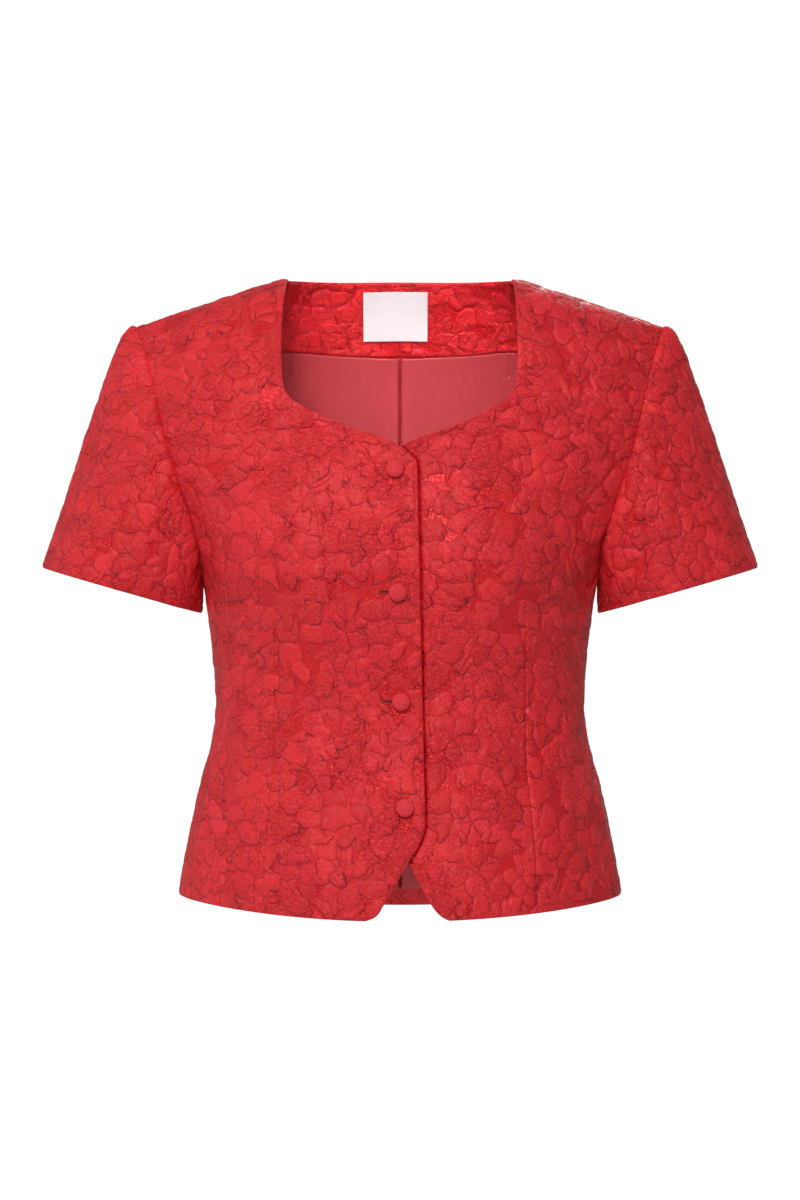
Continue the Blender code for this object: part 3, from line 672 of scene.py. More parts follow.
# A closed sheet: fine outer face, coarse inner face and a round rim between them. It also
# returns the lines of the inner face.
def sheetMesh(name, points, normals, half):
    rows, columns = points.shape[:2]
    rim = np.clip(borderDistance(points) / rimRadius, 0.0, 1.0)
    rim = np.sqrt(1.0 - (1.0 - rim) ** 2)[..., None]
    outer = points + normals * half * rim
    ri, ci = coarseLines(rows), coarseLines(columns)
    coarse = np.ix_(ri, ci)
    inner = points[coarse] - normals[coarse] * half
    fine = np.arange(rows * columns).reshape(rows, columns)
    rough = np.arange(len(ri) * len(ci)).reshape(len(ri), len(ci)) + rows * columns
    faces = np.stack([fine[:-1, :-1], fine[:-1, 1:], fine[1:, 1:], fine[1:, :-1]], axis=-1)
    faces = faces.reshape(-1, 4).tolist()
    back = [rough[:-1, :-1], rough[1:, :-1], rough[1:, 1:], rough[:-1, 1:]]
    faces += np.stack(back, axis=-1).reshape(-1, 4).tolist()
    firstRow, lastRow, firstColumn, lastColumn = ri[0], ri[-1], ci[0], ci[-1]
    for k in range(len(ci) - 1):
        a, b = ci[k], ci[k + 1]
        faces.append([*fine[0, a:b + 1][::-1], rough[0, k], rough[0, k + 1]])
        faces.append([*fine[-1, a:b + 1], rough[-1, k + 1], rough[-1, k]])
    for k in range(len(ri) - 1):
        a, b = ri[k], ri[k + 1]
        faces.append([*fine[a:b + 1, 0], rough[k + 1, 0], rough[k, 0]])
        faces.append([*fine[a:b + 1, -1][::-1], rough[k, -1], rough[k + 1, -1]])
    faces.append([*fine[0, :firstColumn + 1][::-1], *fine[1:firstRow + 1, 0], rough[0, 0]])
    faces.append([*fine[:firstRow + 1, -1][::-1], *fine[0, lastColumn:-1][::-1], rough[0, -1]])
    faces.append([*fine[-1, lastColumn:], *fine[lastRow:-1, -1][::-1], rough[-1, -1]])
    faces.append([*fine[lastRow:, 0], *fine[-1, 1:firstColumn + 1], rough[-1, 0]])
    row, column = rows // 2, columns // 2
    along = points[row, column + 1] - points[row, column]
    up = points[row + 1, column] - points[row, column]
    if np.dot(np.cross(along, up), normals[row, column]) < 0.0:
        faces = [face[::-1] for face in faces]
    mesh = bpy.data.meshes.new(name)
    vertices = np.concatenate([outer.reshape(-1, 3), inner.reshape(-1, 3)])
    mesh.from_pydata(vertices.tolist(), [], [[int(v) for v in face] for face in faces])
    mesh.shade_smooth()
    return mesh, coarse


# An attribute of the mesh, as one array of values for all its points
def giveChannel(mesh, name, values, kind):
    made = mesh.attributes.new(name, kind, "POINT")
    slotName = "vector" if kind == "FLOAT_VECTOR" else "value"
    made.data.foreach_set(slotName, values.astype(np.float32).ravel())


def bothFaces(outer, inner):
    width = outer.shape[2] if outer.ndim == 3 else 1
    return np.concatenate([outer.reshape(-1, width), inner.reshape(-1, width)])


def handOver(thing, slotName, *nodes):
    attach(thing, "root")
    if nodes:
        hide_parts(*nodes)


def newObject(name, mesh, material):
    thing = bpy.data.objects.new(name, mesh)
    bpy.context.scene.collection.objects.link(thing)
    mesh.materials.append(material)
    return thing


# Builds a sheet of cloth from its grid, raises its petals and hands it to the frame
def cloth(piece, grid, relief=1.0):
    grid[..., [0, acrossChannel]] *= piece.get("mirror", 1)
    points = grid[..., :3]
    normals = gridNormals(points) * piece["outward"]
    mesh, coarse = sheetMesh(piece["name"], points, normals, piece["thickness"] / 2.0)
    across, along = piece["shift"]
    place = [grid[..., acrossChannel] + across, grid[..., alongChannel] + along]
    place = np.stack([*place, np.zeros(points.shape[:2])], axis=-1)
    giveChannel(mesh, "place", bothFaces(place, place[coarse]), "FLOAT_VECTOR")
    giveChannel(mesh, "outward", bothFaces(normals, -normals[coarse]), "FLOAT_VECTOR")
    relief = relief * softStep(borderDistance(points), 0.0002, 0.0030)
    giveChannel(mesh, "relief", bothFaces(relief, 0.0 * relief[coarse]), "FLOAT")
    thing = newObject(piece["name"], mesh, piece["material"])
    if piece["raised"] is not None:
        raiseByNodes(thing, piece["raised"])
    handOver(thing, piece["slot"], piece["stands for"])
    print(piece["name"], len(thing.data.polygons), "faces")
    return thing


# Displaces the mesh by the node tree for good
def raiseByNodes(thing, tree):
    modifier = thing.modifiers.new("Raised", "NODES")
    modifier.node_group = tree
    graph = bpy.context.evaluated_depsgraph_get()
    raised = thing.evaluated_get(graph)
    mesh = bpy.data.meshes.new_from_object(
        raised, preserve_all_data_layers=True, depsgraph=graph)
    thing.modifiers.clear()
    old, thing.data = thing.data, mesh
    mesh.name = old.name + "_raised"
    bpy.data.meshes.remove(old)


# Sets inputs of a node; a value may be a number, a colour, another node or its socket
def join(tree, node, inputs):
    for place, value in inputs.items():
        if isinstance(value, bpy.types.Node):
            isColour = getattr(value, "data_type", "") == "RGBA"
            value = value.outputs[2 if isColour else 0]
        if isinstance(value, bpy.types.NodeSocket):
            tree.links.new(value, node.inputs[place])
        else:
            node.inputs[place].default_value = value


# Adds a node with its settings; its inputs come in their order, or by name or number.
# The kind may name an operation too, as in "Math ADD".
def add(tree, kind, inputs=(), **settings):
    kind, *operation = kind.split()
    node = tree.nodes.new(kind if kind.startswith("Geometry") else "ShaderNode" + kind)
    if operation:
        node.operation = operation[0]
    for name, value in settings.items():
        setattr(node, name, value)
    join(tree, node, inputs if isinstance(inputs, dict) else dict(enumerate(inputs)))
    return node


# Linear values of a hex colour as seen on a screen
def linear(colour):
    parts = [int(colour[i:i + 2], 16) / 255.0 for i in (1, 3, 5)]
    parts = [c / 12.92 if c <= 0.04045 else ((c + 0.055) / 1.055) ** 2.4 for c in parts]
    return (*parts, 1.0)


# The petals, drawn one layer over another, from petals that measure 8 to 30 mm on the
# cloth: cell size, half width and half length of a petal, share of the cells that hold
# one, height of its layer, and seed. All in metres.
petalLayers = (
    ("petal", 0.0178, 0.0112, 0.0142, 0.93, 0.00000, 1.7),
    ("flower", 0.0460, 0.0200, 0.0200, 0.70, 0.00010, 0.0),
    ("petal", 0.0270, 0.0072, 0.0106, 0.60, 0.00022, 3.1),
    ("petal", 0.0180, 0.0046, 0.0070, 0.46, 0.00032, 12.3),
    ("petal", 0.0250, 0.0025, 0.0110, 0.34, 0.00040, 17.9),
)
petals = {
    "waves": 75.0, "waviness": 0.0085, "unevenness": 0.80, "smallest": 0.78, "largest": 1.12,
    "foot": 0.62, "tip": 1.25, "lobes": 2.5, "lobe foot": 0.42, "rise": 0.00050,
    "dome start": 0.12, "dome width": 0.0038, "height spread": 0.00016,
    # The crease is painted shade: its half width, its core, how much of it stays on the side
    # towards the light, and the way to its darkest side
    "crease half": 0.00092, "crease core": 0.0002, "crease lit side": 0.14,
    "crease side": (0.5, -0.87, 0.0), "relief edge": 0.0008, "drawn edge": 0.00016,
    "crinkle": 0.0075, "crinkle height": 0.00016,
}
flat = {"noise_dimensions": "2D"}
soft = {"interpolation_type": "SMOOTHSTEP"}


# How far a place lies outside a five-lobed flower, in metres
def outsideFlower(tree, own, part, size, long):
    lobe = add(tree, "Math ARCTAN2", [part.outputs[1], part.outputs[0]])
    lobe = add(tree, "Math MULTIPLY", [lobe, petals["lobes"]])
    for operation in ("SINE", "ABSOLUTE"):
        lobe = add(tree, "Math " + operation, [lobe])
    lobe = add(tree, "Math POWER", [lobe, 0.5])
    reach = add(tree, "MapRange", {0: lobe, 3: petals["lobe foot"] * long, 4: long})
    reach = add(tree, "Math MULTIPLY", [reach, size])
    far = add(tree, "VectorMath LENGTH", [own]).outputs[1]
    side = lobe
    for by in (lobe, far, -0.9):  # the cleft between two lobes
        side = add(tree, "Math MULTIPLY", [side, by])
    outside = add(tree, "Math SUBTRACT", [far, reach])
    return add(tree, "Math SMOOTH_MAX", [outside, side, 0.001])


# The same for a single petal, narrow at its foot and wide at its tip
def outsidePetal(tree, part, size, wide, long):
    up = add(tree, "Math DIVIDE", [part.outputs[1], long])
    widths = {3: petals["foot"] * wide, 4: petals["tip"] * wide}
    width = add(tree, "MapRange", {0: up, 1: -1.0, 2: 1.0, **widths})
    aside = add(tree, "Math DIVIDE", [part.outputs[0], width])
    away = add(tree, "CombineXYZ", [aside, up])
    away = add(tree, "VectorMath LENGTH", [away]).outputs[1]
    outside = add(tree, "Math SUBTRACT", [away, size])
    return add(tree, "Math MULTIPLY", [outside, 0.5 * (wide + long)])


# Height in metres, share of petal, crease and own tone of the petal at a place on the cloth;
# edge is the width over which a petal starts. The crease is painted shade along the petal's
# edge, darkest at its lower right as if lit from the upper left.
def petalPattern(tree, place, edge):
    warp = {"Vector": place, "Scale": petals["waves"], "Detail": 1.0, "Roughness": 0.5}
    warp = add(tree, "TexNoise", warp, **flat).outputs[1]
    warp = add(tree, "VectorMath SUBTRACT", [warp, (0.5, 0.5, 0.5)])
    warp = add(tree, "VectorMath SCALE", {0: warp, "Scale": petals["waviness"]})
    bent = add(tree, "VectorMath ADD", [place, warp])
    height, petal, creaseAndPaintedShade, tone = 0.0, 0.0, 0.0, 0.5
    for kind, cell, wide, long, share, level, seed in petalLayers:
        moved = add(tree, "VectorMath ADD", [bent, (seed, seed * 0.7, 0.0)])
        inCell = {"Vector": moved, "Scale": 1.0 / cell, "Randomness": petals["unevenness"]}
        cells = add(tree, "TexVoronoi", inCell, voronoi_dimensions="2D")
        first, second, third = add(tree, "SeparateXYZ", [cells.outputs["Color"]]).outputs
        middle = cells.outputs["Position"]
        fromMiddle = add(tree, "VectorMath SUBTRACT", [moved, middle])
        angle = add(tree, "Math MULTIPLY", [first, 2.0 * math.pi])
        own = {"Vector": fromMiddle, "Angle": angle}
        own = add(tree, "VectorRotate", own, rotation_type="Z_AXIS")
        size = {0: third, 3: petals["smallest"], 4: petals["largest"]}
        size = add(tree, "MapRange", size)
        part = add(tree, "SeparateXYZ", [own])
        if kind == "flower":
            outside = outsideFlower(tree, own, part, size, long)
        else:
            outside = outsidePetal(tree, part, size, wide, long)
        border = {"voronoi_dimensions": "2D", "feature": "DISTANCE_TO_EDGE"}
        border = add(tree, "TexVoronoi", inCell, **border)
        border = add(tree, "Math MULTIPLY", [border, -cell])
        outside = add(tree, "Math SMOOTH_MAX", [outside, border, 0.002])
        there = add(tree, "Math LESS_THAN", [second, share])
        cover = add(tree, "MapRange", {0: outside, 1: edge, 2: -edge}, **soft)
        cover = add(tree, "Math MULTIPLY", [cover, there])
        dome = {1: 0.0, 2: -petals["dome width"], 3: petals["dome start"] * petals["rise"]}
        dome = add(tree, "MapRange", {0: outside, **dome, 4: petals["rise"]}, **soft)
        base = {0: third, 3: level, 4: level + petals["height spread"]}
        top = add(tree, "Math ADD", [dome, add(tree, "MapRange", base)])
        # Painted shade: the crease is darkest on the lower right of each petal, as if lit from
        # the upper left
        away = add(tree, "VectorMath NORMALIZE", [fromMiddle])
        away = add(tree, "VectorMath DOT_PRODUCT", [away, petals["crease side"]])
        away = {0: away.outputs[1], 1: -0.6, 2: 0.5, 3: petals["crease lit side"], 4: 1.0}
        away = add(tree, "MapRange", away, **soft)
        near = add(tree, "Math ABSOLUTE", [outside])
        shade = {0: near, 1: petals["crease half"], 2: petals["crease core"]}
        shade = add(tree, "MapRange", shade, **soft)
        for by in (there, away):
            shade = add(tree, "Math MULTIPLY", [shade, by])
        height = add(tree, "Mix", {0: cover, 2: height, 3: top})
        petal = add(tree, "Mix", {0: cover, 2: petal, 3: 1.0})
        tone = add(tree, "Mix", {0: cover, 2: tone, 3: first})
        creaseAndPaintedShade = add(tree, "Mix", {0: cover, 2: creaseAndPaintedShade, 3: 0.0})
        creaseAndPaintedShade = add(tree, "Math MAXIMUM", [creaseAndPaintedShade, shade])
    return height, petal, creaseAndPaintedShade, tone


# Uneven ridges from 0 to 1, about size apart and stretched across by stretch
def crinkle(tree, place, size, stretch):
    drawn = add(tree, "VectorMath MULTIPLY", [place, (1.0 / stretch, 1.0, 1.0)])
    ridge = {"Vector": drawn, "Scale": 1.0 / size, "Detail": 2.0, "Distortion": 0.7}
    ridge = add(tree, "TexNoise", ridge, **flat)
    ridge = add(tree, "Math SUBTRACT", [ridge, 0.5])
    ridge = add(tree, "Math ABSOLUTE", [ridge])
    return add(tree, "MapRange", {0: ridge, 1: 0.16, 2: 0.0})


# Raises the petals of a sheet outward, with soft edges that its faces can follow
def petalRelief():
    tree = bpy.data.node_groups.new("petal_relief", "GeometryNodeTree")
    for way in ("INPUT", "OUTPUT"):
        tree.interface.new_socket("Geometry", in_out=way, socket_type="NodeSocketGeometry")
    start, end = tree.nodes.new("NodeGroupInput"), tree.nodes.new("NodeGroupOutput")
    channels = (("place", "FLOAT_VECTOR"), ("outward", "FLOAT_VECTOR"), ("relief", "FLOAT"))
    place, outward, relief = [
        add(tree, "GeometryNodeInputNamedAttribute", [name], data_type=kind).outputs[0]
        for name, kind in channels]
    height = petalPattern(tree, place, petals["relief edge"])[0]
    fine = crinkle(tree, place, petals["crinkle"], 1.3)
    fine = add(tree, "Math MULTIPLY", [fine, petals["crinkle height"]])
    height = add(tree, "Math ADD", [height, fine])
    height = add(tree, "Math MULTIPLY", [height, relief])
    offset = add(tree, "VectorMath SCALE", {0: outward, "Scale": height})
    moved = {"Geometry": start.outputs[0], "Offset": offset}
    join(tree, end, {0: add(tree, "GeometryNodeSetPosition", moved)})
    return tree


def newMaterial(name):
    material = bpy.data.materials.new(name)
    material.use_nodes = True
    return material, material.node_tree, material.node_tree.nodes["Principled BSDF"]


# Jacquard with matte petals on a satin ground. Its threads stand 0.1 to 0.3 mm apart; the
# grain is drawn as coarse as 2 mm, because finer threads don't show from here.
weave = {
    "grain": (520.0, 3.0, 0.65), "zones": (26.0, 1.0, 0.5), "breaks": (110.0, 1.0, 0.5),
    "crinkle": (0.0029, 1.3), "ribs": (0.0014, 4.0), "ridges": (0.0120, 0.6),
    "heights": {"crinkle": 0.00048, "ribs": 0.00003, "grain": 0.00013, "ridges": 0.00036,
                "creaseAndPaintedShade": -0.00024},
    "deep": ("#C20A15", "#C20C16"), "light": ("#E31F28", "#EA2932"),
    # Painted highlight on the ridges and painted shade in the creases: colour and strength
    "lit ridge": ("#F0525A", 0.40), "creaseAndPaintedShade": ("#7C0A14", 0.80),
    "roughness": (0.40, 0.56), "metallic": (0.26, 0.0), "specular": 0.38,
}


# The eye sees soft padded petals, a dark crease at the lower right of each, fine crinkles
# in patches, and a ground that lights up at the side where the petals look darker. The
# creases are sunk in the bump, and their dark colour is painted shade; the ridges' lighter
# colour is a painted highlight.
def petalJacquard():
    material, tree, shader = newMaterial("red_petal_jacquard_matte_on_satin")
    place = add(tree, "Attribute", attribute_name="place").outputs["Vector"]
    height, petal, creaseAndPaintedShade, tone = petalPattern(tree, place, petals["drawn edge"])
    drawn = []
    for name in ("grain", "zones", "breaks"):
        scale, detail, rough = weave[name]
        noise = {"Vector": place, "Scale": scale, "Detail": detail, "Roughness": rough}
        drawn.append(add(tree, "TexNoise", noise, **flat))
    grain, zone, broken = drawn
    names = ("crinkle", "ribs", "ridges")
    wide, ribs, ridges = [crinkle(tree, place, *weave[name]) for name in names]
    zone = add(tree, "MapRange", {0: zone, 1: 0.42, 2: 0.60, 3: 0.30, 4: 1.0}, **soft)
    wide = add(tree, "Math MULTIPLY", [wide, zone])
    ridges = add(tree, "MapRange", {0: ridges, 1: 0.84, 2: 1.0}, **soft)
    broken = add(tree, "MapRange", {0: broken, 1: 0.38, 2: 0.58, 3: 0.30, 4: 1.0})
    creaseAndPaintedShade = add(tree, "Math MULTIPLY", [creaseAndPaintedShade, broken])
    ridges = add(tree, "Math MULTIPLY", [ridges, broken])
    speck = add(tree, "MapRange", {0: grain, 1: 0.30, 2: 0.70, 3: -0.34, 4: 0.34})
    tone = add(tree, "MapRange", {0: tone, 3: 0.25, 4: 0.75})
    tone = add(tree, "Math ADD", [tone, speck], use_clamp=True)
    colours = {}
    for name in ("deep", "light"):
        ground, onPetal = [linear(colour) for colour in weave[name]]
        mix = {0: petal, 6: ground, 7: onPetal}
        colours[name] = add(tree, "Mix", mix, data_type="RGBA")
    mix = {0: tone, 6: colours["deep"], 7: colours["light"]}
    colour = add(tree, "Mix", mix, data_type="RGBA")
    # Painted highlight on the ridges and painted shade in the creases, mixed into the colour
    for part, name in ((ridges, "lit ridge"), (creaseAndPaintedShade, "creaseAndPaintedShade")):
        shown = add(tree, "Math MULTIPLY", [part, weave[name][1]])
        mix = {0: shown, 6: colour, 7: linear(weave[name][0])}
        colour = add(tree, "Mix", mix, data_type="RGBA")
    parts = {"crinkle": wide, "ribs": ribs, "grain": grain, "ridges": ridges, "creaseAndPaintedShade": creaseAndPaintedShade}
    for name, part in parts.items():
        part = add(tree, "Math MULTIPLY", [part, weave["heights"][name]])
        height = add(tree, "Math ADD", [height, part])
    rough, shine = [
        add(tree, "MapRange", {0: petal, 3: weave[name][0], 4: weave[name][1]})
        for name in ("roughness", "metallic")]
    bump = add(tree, "Bump", {"Height": height, "Distance": 1.0, "Strength": 1.0})
    join(tree, shader, {
        "Base Color": colour, "Roughness": rough, "Metallic": shine, "Normal": bump,
        "Specular IOR Level": weave["specular"],
    })
    return material


# The same cloth drawn smooth over the buttons: matte, with only its fine grain
def buttonCover():
    material, tree, shader = newMaterial("red_cloth_matte_over_buttons")
    place = add(tree, "Attribute", attribute_name="place").outputs["Vector"]
    grain = add(tree, "TexNoise", {"Vector": place, "Scale": 900.0, "Detail": 2.0}, **flat)
    tone = add(tree, "MapRange", {0: grain, 1: 0.3, 2: 0.7})
    mix = {0: tone, 6: linear("#C8242E"), 7: linear("#E0444B")}
    colour = add(tree, "Mix", mix, data_type="RGBA")
    grain = add(tree, "Math MULTIPLY", [grain, 0.00006])
    bump = add(tree, "Bump", {"Height": grain, "Distance": 1.0})
    join(tree, shader, {
        "Base Color": colour, "Normal": bump, "Roughness": 0.62, "Specular IOR Level": 0.12,
    })
    return material


# Woven satin, smooth and even: a duller and pinker red than the cloth, with faint threads
# drawn 1 mm apart, ten times as coarse as they are
def liningSatin():
    material, tree, shader = newMaterial("red_satin_lining")
    place = add(tree, "Attribute", attribute_name="place").outputs["Vector"]
    threads = add(tree, "VectorMath MULTIPLY", [place, (1.0, 0.06, 1.0)])
    threads = add(tree, "TexNoise", {"Vector": threads, "Scale": 900.0, "Detail": 1.0}, **flat)
    speck = add(tree, "MapRange", {0: threads, 1: 0.3, 2: 0.7, 3: 0.95, 4: 1.04})
    speck = add(tree, "CombineXYZ", [speck, speck, speck])
    mix = {0: 1.0, 6: linear("#B83E45"), 7: speck}
    colour = add(tree, "Mix", mix, data_type="RGBA", blend_type="MULTIPLY")
    join(tree, shader, {
        "Base Color": colour, "Roughness": 0.42, "Metallic": 0.15, "Specular IOR Level": 0.4,
    })
    return material


# Near-white woven tape with fine level ribs, drawn 0.9 mm apart so that they show
def labelTape():
    material, tree, shader = newMaterial("white_woven_label_satin")
    place = add(tree, "Attribute", attribute_name="place").outputs["Vector"]
    ribs = add(tree, "SeparateXYZ", [place]).outputs[1]
    ribs = add(tree, "Math MULTIPLY", [ribs, 2.0 * math.pi / 0.0009])
    ribs = add(tree, "Math SINE", [ribs])
    ribs = add(tree, "Math MULTIPLY", [ribs, 0.00003])
    bump = add(tree, "Bump", {"Height": ribs, "Distance": 1.0})
    join(tree, shader, {"Base Color": linear("#DDD7D9"), "Normal": bump, "Roughness": 0.45})
    return material


def plainMaterial(name, colour, roughness):
    material, tree, shader = newMaterial(name)
    join(tree, shader, {"Base Color": linear(colour), "Roughness": roughness})
    return material


jacquard = petalJacquard()
covering = buttonCover()
satin = liningSatin()
tape = labelTape()
# Twisted silk round the buttonholes, and a dark red painted as the shade between their lips
thread = plainMaterial("red_silk_buttonhole_thread", "#A81824", 0.7)
painted_slit_shade = plainMaterial("painted_shade_in_buttonhole_slit", "#640C15", 0.9)
print("materials made")

# The sheets. "shift" is where the pattern starts, and "flat" the cut without its seam
# allowance: width, length and area. A sleeve's width is its length all round, half way down.
shell = {
    "material": jacquard, "raised": petalRelief(), "slot": "shell_cloth", "thickness": wall,
}
frontRight = {
    **shell, "name": "front_right_cloth", "stands for": "front_right", "mirror": -1,
    "outward": -1, "shift": (0.371, 0.113), "flat": (0.240, 0.537, 0.0980),
}
frontLeft = {
    **shell, "name": "front_left_cloth", "stands for": "front_left",
    "outward": 1, "shift": (1.214, 0.527), "flat": (0.250, 0.536, 0.0984),
}
backPanel = {
    **shell, "name": "back_cloth", "stands for": "back",
    "outward": -1, "shift": (2.630, 0.341), "flat": (0.490, 0.519, 0.2097),
}
sleeveRight = {
    **shell, "name": "sleeve_right_cloth", "stands for": "sleeve_right", "mirror": -1,
    "outward": -1, "shift": (3.912, 0.218), "flat": (0.414, 0.207, 0.0437),
}
sleeveLeft = {
    **shell, "name": "sleeve_left_cloth", "stands for": "sleeve_left",
    "outward": 1, "shift": (4.733, 0.864), "flat": (0.414, 0.207, 0.0437),
}
neckFacing = {
    **shell, "name": "back_neck_facing_cloth", "stands for": "back_neck_facing",
    "thickness": thinWall, "outward": 1, "shift": (5.481, 0.402),
    "flat": (0.299, 0.080, 0.0173),
}
backSatin = {
    **neckFacing, "name": "back_lining_satin", "stands for": "lining_back", "material": satin,
    "raised": None, "slot": "lining_satin", "flat": (0.433, 0.439, 0.1632),
}
bareLabel = {
    **backSatin, "name": "label_tape_bare", "stands for": "label", "material": tape,
    "slot": "label_tape", "thickness": labelWall, "flat": (0.052, 0.0428, 0.0022),
}

cloth(frontRight, frontCloth(-1, 1, frontRightFolds))
grid = frontCloth(1, 2, frontLeftFolds)
# The petals aren't raised where the other front covers this one, and only a little on the facing
# under the label
cloth(frontLeft, grid, softStep(grid[..., 0], frontSize["covered to"], frontSize["petals from"]))
back = cloth(backPanel, backCloth())
cloth(sleeveRight, sleeveCloth(sleeveRightFolds))
cloth(sleeveLeft, sleeveCloth(sleeveLeftFolds))
grid = backNeckFacing()
besideLabel = np.abs(grid[..., 0] - labelSize["centre"]) - labelSize["width"] / 2.0
aboveLabel = grid[..., 2] - labelSize["top"] + labelSize["height"]
facing = cloth(neckFacing, grid, 1.0 - 0.85 * ((besideLabel < 0.002) & (aboveLabel > -0.006)))
lining = cloth(backSatin, backLining())
label = cloth(bareLabel, wovenLabel())
print("cloth sheets made")

# Level of each button, and its place across from the middle
buttonPlaces = ((-0.1545, -0.0038), (-0.2475, -0.0019), (-0.3315, 0.0008), (-0.4085, 0.0038))
# 22 ligne, covered
buttonSize = {
    "diameter": 0.0140, "height": 0.0048, "rim": 0.0016, "gap": 0.0012, "undercut": 0.0011,
    "points": 96, "gathers": 19.0, "gather": 0.00013, "shank": 0.0018, "reach": 0.0016,
}
holeSize = {
    "length": 0.0155, "width": 0.0026, "bend": 0.00125, "stitches": 190, "round": 10,
    "thread": 0.00052, "unevenness": 0.14, "flattened": 1.35, "above": 0.00035,
}
slitSize = {"shorter": 0.0013, "half": 0.00062, "top": 0.00022, "bottom": -0.0002, "points": 24}


# Where a button sits on the right front's outer face: +Z out, +X level
def frontFrame(level, across):
    def spot(x, level):
        h = heightOf(np.array([level]))
        return frontSurface(angleAt(np.array([x]), level), h)[0]

    middle = spot(-across, level)
    along = spot(0.004 - across, level) - middle
    up = spot(-across, level + 0.004) - middle
    out = np.cross(along, up)
    out = out / np.linalg.norm(out)
    middle = middle + out * (frontSize["overlap lift"] + wall / 2.0)
    middle[0] *= -1.0
    out[0] *= -1.0
    out = Vector(out)
    levelWay = Vector((0.0, 0.0, 1.0)).cross(out).normalized()
    made = Matrix((levelWay, out.cross(levelWay), out)).transposed().to_4x4()
    made.translation = Vector(middle)
    return made


# Faces between rings of points that follow each other
def ringFaces(rings, points, closed=False):
    faces = []
    for i in range(rings if closed else rings - 1):
        here, there = i * points, (i + 1) % rings * points
        for k in range(points):
            n = (k + 1) % points
            faces.append((here + k, there + k, there + n, here + n))
    return faces


def smoothObject(name, vertices, faces, material, place):
    mesh = bpy.data.meshes.new(name)
    mesh.from_pydata([tuple(v) for v in vertices], [], faces)
    mesh.shade_smooth()
    thing = newObject(name, mesh, material)
    thing.matrix_world = place
    return thing


# A covered button: a domed cap whose cloth is drawn in small gathers under its rim
def coveredButton(name, place, number):
    radius, rim, gap = buttonSize["diameter"] / 2.0, buttonSize["rim"], buttonSize["gap"]
    profile = []  # radius, height and depth of the gathers
    for i in range(1, 25):
        a = math.pi / 2.0 * i / 24.0
        z = gap + rim + (buttonSize["height"] - rim) * math.cos(a) ** 0.85
        profile.append((radius * math.sin(a) ** 0.92, z, 0.0))
    for i in range(1, 9):
        a = math.pi / 2.0 * i / 8.0
        inward = radius - buttonSize["undercut"] * (1.0 - math.cos(a))
        profile.append((inward, gap + rim * (1.0 - math.sin(a)), 1.0))
    shank = buttonSize["shank"] / 2.0
    profile += [(0.0036, gap + 0.0001, 0.6), (0.0014, gap + 0.0002, 0.0)]
    profile += [(shank, gap - 0.0003, 0.0), (shank, -buttonSize["reach"], 0.0)]
    points, vertices = buttonSize["points"], []
    for r, z, gather in profile:
        for k in range(points):
            t = 2.0 * math.pi * k / points
            wave = buttonSize["gather"] * gather * math.sin(t * buttonSize["gathers"] + number)
            wave *= 1.0 + 0.4 * math.sin(3.0 * t + number)
            vertices.append(((r + wave) * math.cos(t), (r + wave) * math.sin(t), z))
    rings = len(profile)
    faces = [tuple(range(points)), *ringFaces(rings, points)]
    faces.append(tuple((rings - 1) * points + k for k in reversed(range(points))))
    thing = smoothObject(name, vertices, faces, covering, place)
    shift = (6.1 + number * 0.37, 0.2 + number * 0.21, 0.0)
    place = np.array(vertices) * (1.0, 1.0, 0.0) + shift
    giveChannel(thing.data, "place", place, "FLOAT_VECTOR")
    return thing


# Worked stitches round a closed slit, from the shank away from the front edge
def buttonhole(name, place):
    bend, around, steps = holeSize["bend"], holeSize["round"], holeSize["stitches"]
    straight = holeSize["length"] - 2.0 * bend
    halfRound = straight + math.pi * bend
    vertices = []
    for k in range(steps):
        back, s = divmod(2.0 * halfRound * k / steps, halfRound)
        way = -1.0 if back else 1.0
        a = max(s - straight, 0.0) / bend - math.pi / 2.0
        nx, ny = way * math.cos(a), way * math.sin(a)
        x = way * (min(s, straight) - straight / 2.0) + bend * nx
        y = bend * ny
        uneven = holeSize["unevenness"]
        thick = holeSize["thread"] * (1.0 + (uneven if k % 2 else -uneven))
        for j in range(around):
            a = 2.0 * math.pi * j / around
            out = holeSize["flattened"] * thick * math.cos(a)
            z = holeSize["above"] + thick * math.sin(a)
            vertices.append((x + nx * out, y + ny * out, z))
    return smoothObject(name, vertices, ringFaces(steps, around, True), thread, place)


# Painted shade: a dark plate standing for the shade between the two lips of a buttonhole
def paintedSlitShade(name, place):
    points, vertices = slitSize["points"], []
    for z in (slitSize["top"], slitSize["bottom"]):
        for k in range(points):
            a = 2.0 * math.pi * k / points
            x = holeSize["length"] / 2.0 - slitSize["shorter"]
            x = x * math.copysign(abs(math.cos(a)) ** 0.35, math.cos(a))
            vertices.append((x, slitSize["half"] * math.sin(a), z))
    faces = [tuple(range(points)), tuple(reversed(range(points, 2 * points)))]
    return smoothObject(name, vertices, faces + ringFaces(2, points), painted_slit_shade, place)


for number, (level, across) in enumerate(buttonPlaces, start=1):
    place = frontFrame(level, across)
    button = coveredButton(f"button_{number}_covered", place, number)
    handOver(button, "shell_cloth", f"button_{number}")
    toHole = Matrix.Translation(((holeSize["width"] - holeSize["length"]) / 2.0, 0.0, 0.0))
    handOver(buttonhole(f"buttonhole_{number}_stitches", place @ toHole), "shell_cloth")
    handOver(paintedSlitShade(f"buttonhole_{number}_slit", place @ toHole), "shell_cloth")
print("buttons made")

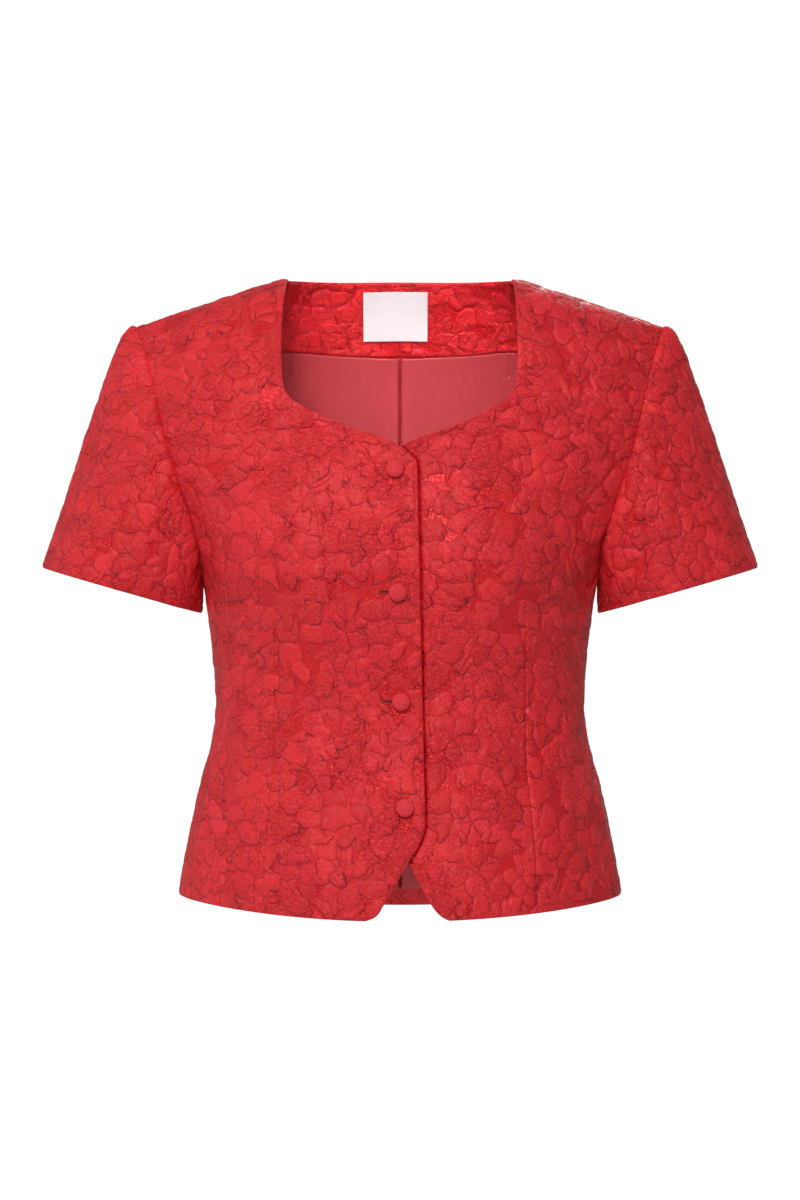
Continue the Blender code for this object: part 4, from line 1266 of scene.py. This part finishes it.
# Studio: a pale floor well below, a lit wall behind and soft light from above the camera
studio = {"floor level": -1.5, "floor radius": 3.2, "wall": (3.2, 2.6), "wall away": 5.0}
cameraHeight = -0.254
white = plainMaterial("pale_matt_floor_paint", "#EFEFEF", 0.9)
bpy.ops.mesh.primitive_circle_add(
    vertices=96, radius=studio["floor radius"], fill_type="NGON",
    location=(0.0, 0.0, studio["floor level"]))
floor = bpy.context.object
floor.name = "studio_floor"
floor.data.materials.append(white)
wallWhite, wallTree, wallShader = newMaterial("lit_white_studio_wall")
join(wallTree, wallShader, {
    "Base Color": linear("#000000"), "Emission Color": linear("#FFFFFF"),
    "Emission Strength": 1.02,
})
bpy.ops.mesh.primitive_plane_add(
    size=1.0, location=(0.0, studio["wall away"], cameraHeight),
    rotation=(math.pi / 2.0, 0.0, 0.0))
wallPlane = bpy.context.object
wallPlane.name = "studio_wall"
wallPlane.scale = (*studio["wall"], 1.0)
wallPlane.data.materials.append(wallWhite)

world = bpy.data.worlds.new("studio")
world.use_nodes = True
sky = world.node_tree.nodes["Background"]
join(world.node_tree, sky, {"Color": linear("#FFFFFF"), "Strength": 0.30})
bpy.context.scene.world = world

# Name, place, what it looks at, width, height, power
softLights = (
    ("front", (-0.35, -3.0, 1.50), (0.0, 0.0, -0.20), 0.8, 0.8, 64.0),
    ("key", (-1.3, -2.3, 1.5), (0.0, 0.0, -0.20), 0.3, 0.3, 18.0),
    ("glare", (-2.0, 0.35, 0.1), (-0.15, 0.0, -0.25), 0.5, 2.0, 7.0),
    ("behind", (0.9, 2.8, 1.5), (0.0, 0.10, -0.20), 1.2, 1.2, 22.0),
    ("inside", (0.15, -2.6, -0.20), (0.0, 0.08, -0.20), 1.0, 1.0, 25.0),
)
lamps = {}
for name, place, target, width, height, power in softLights:
    lamp = bpy.data.lights.new(name, "AREA")
    lamp.shape = "RECTANGLE"
    lamp.size, lamp.size_y = width, height
    lamp.energy = power
    way = Vector(target) - Vector(place)
    lamps[name] = bpy.data.objects.new(name, lamp)
    lamps[name].location = place
    lamps[name].rotation_euler = way.to_track_quat("-Z", "Y").to_euler()
    bpy.context.scene.collection.objects.link(lamps[name])
# What shows through the neck and under the front hem has a light of its own
insidePieces = bpy.data.collections.new("seen_through_the_openings")
for thing in (facing, lining, label, back):
    insidePieces.objects.link(thing)
lamps["inside"].light_linking.receiver_collection = insidePieces

lens = bpy.data.cameras.new("camera")
lens.lens = 113.92
lens.sensor_width = 36.0
camera = bpy.data.objects.new("camera", lens)
camera.location = (0.0, -3.0, cameraHeight)
camera.rotation_euler = (math.pi / 2.0, 0.0, 0.0)
bpy.context.scene.collection.objects.link(camera)
bpy.context.scene.camera = camera
bpy.context.scene.view_settings.view_transform = "Standard"
bpy.context.scene.view_settings.look = "None"
print("studio made")
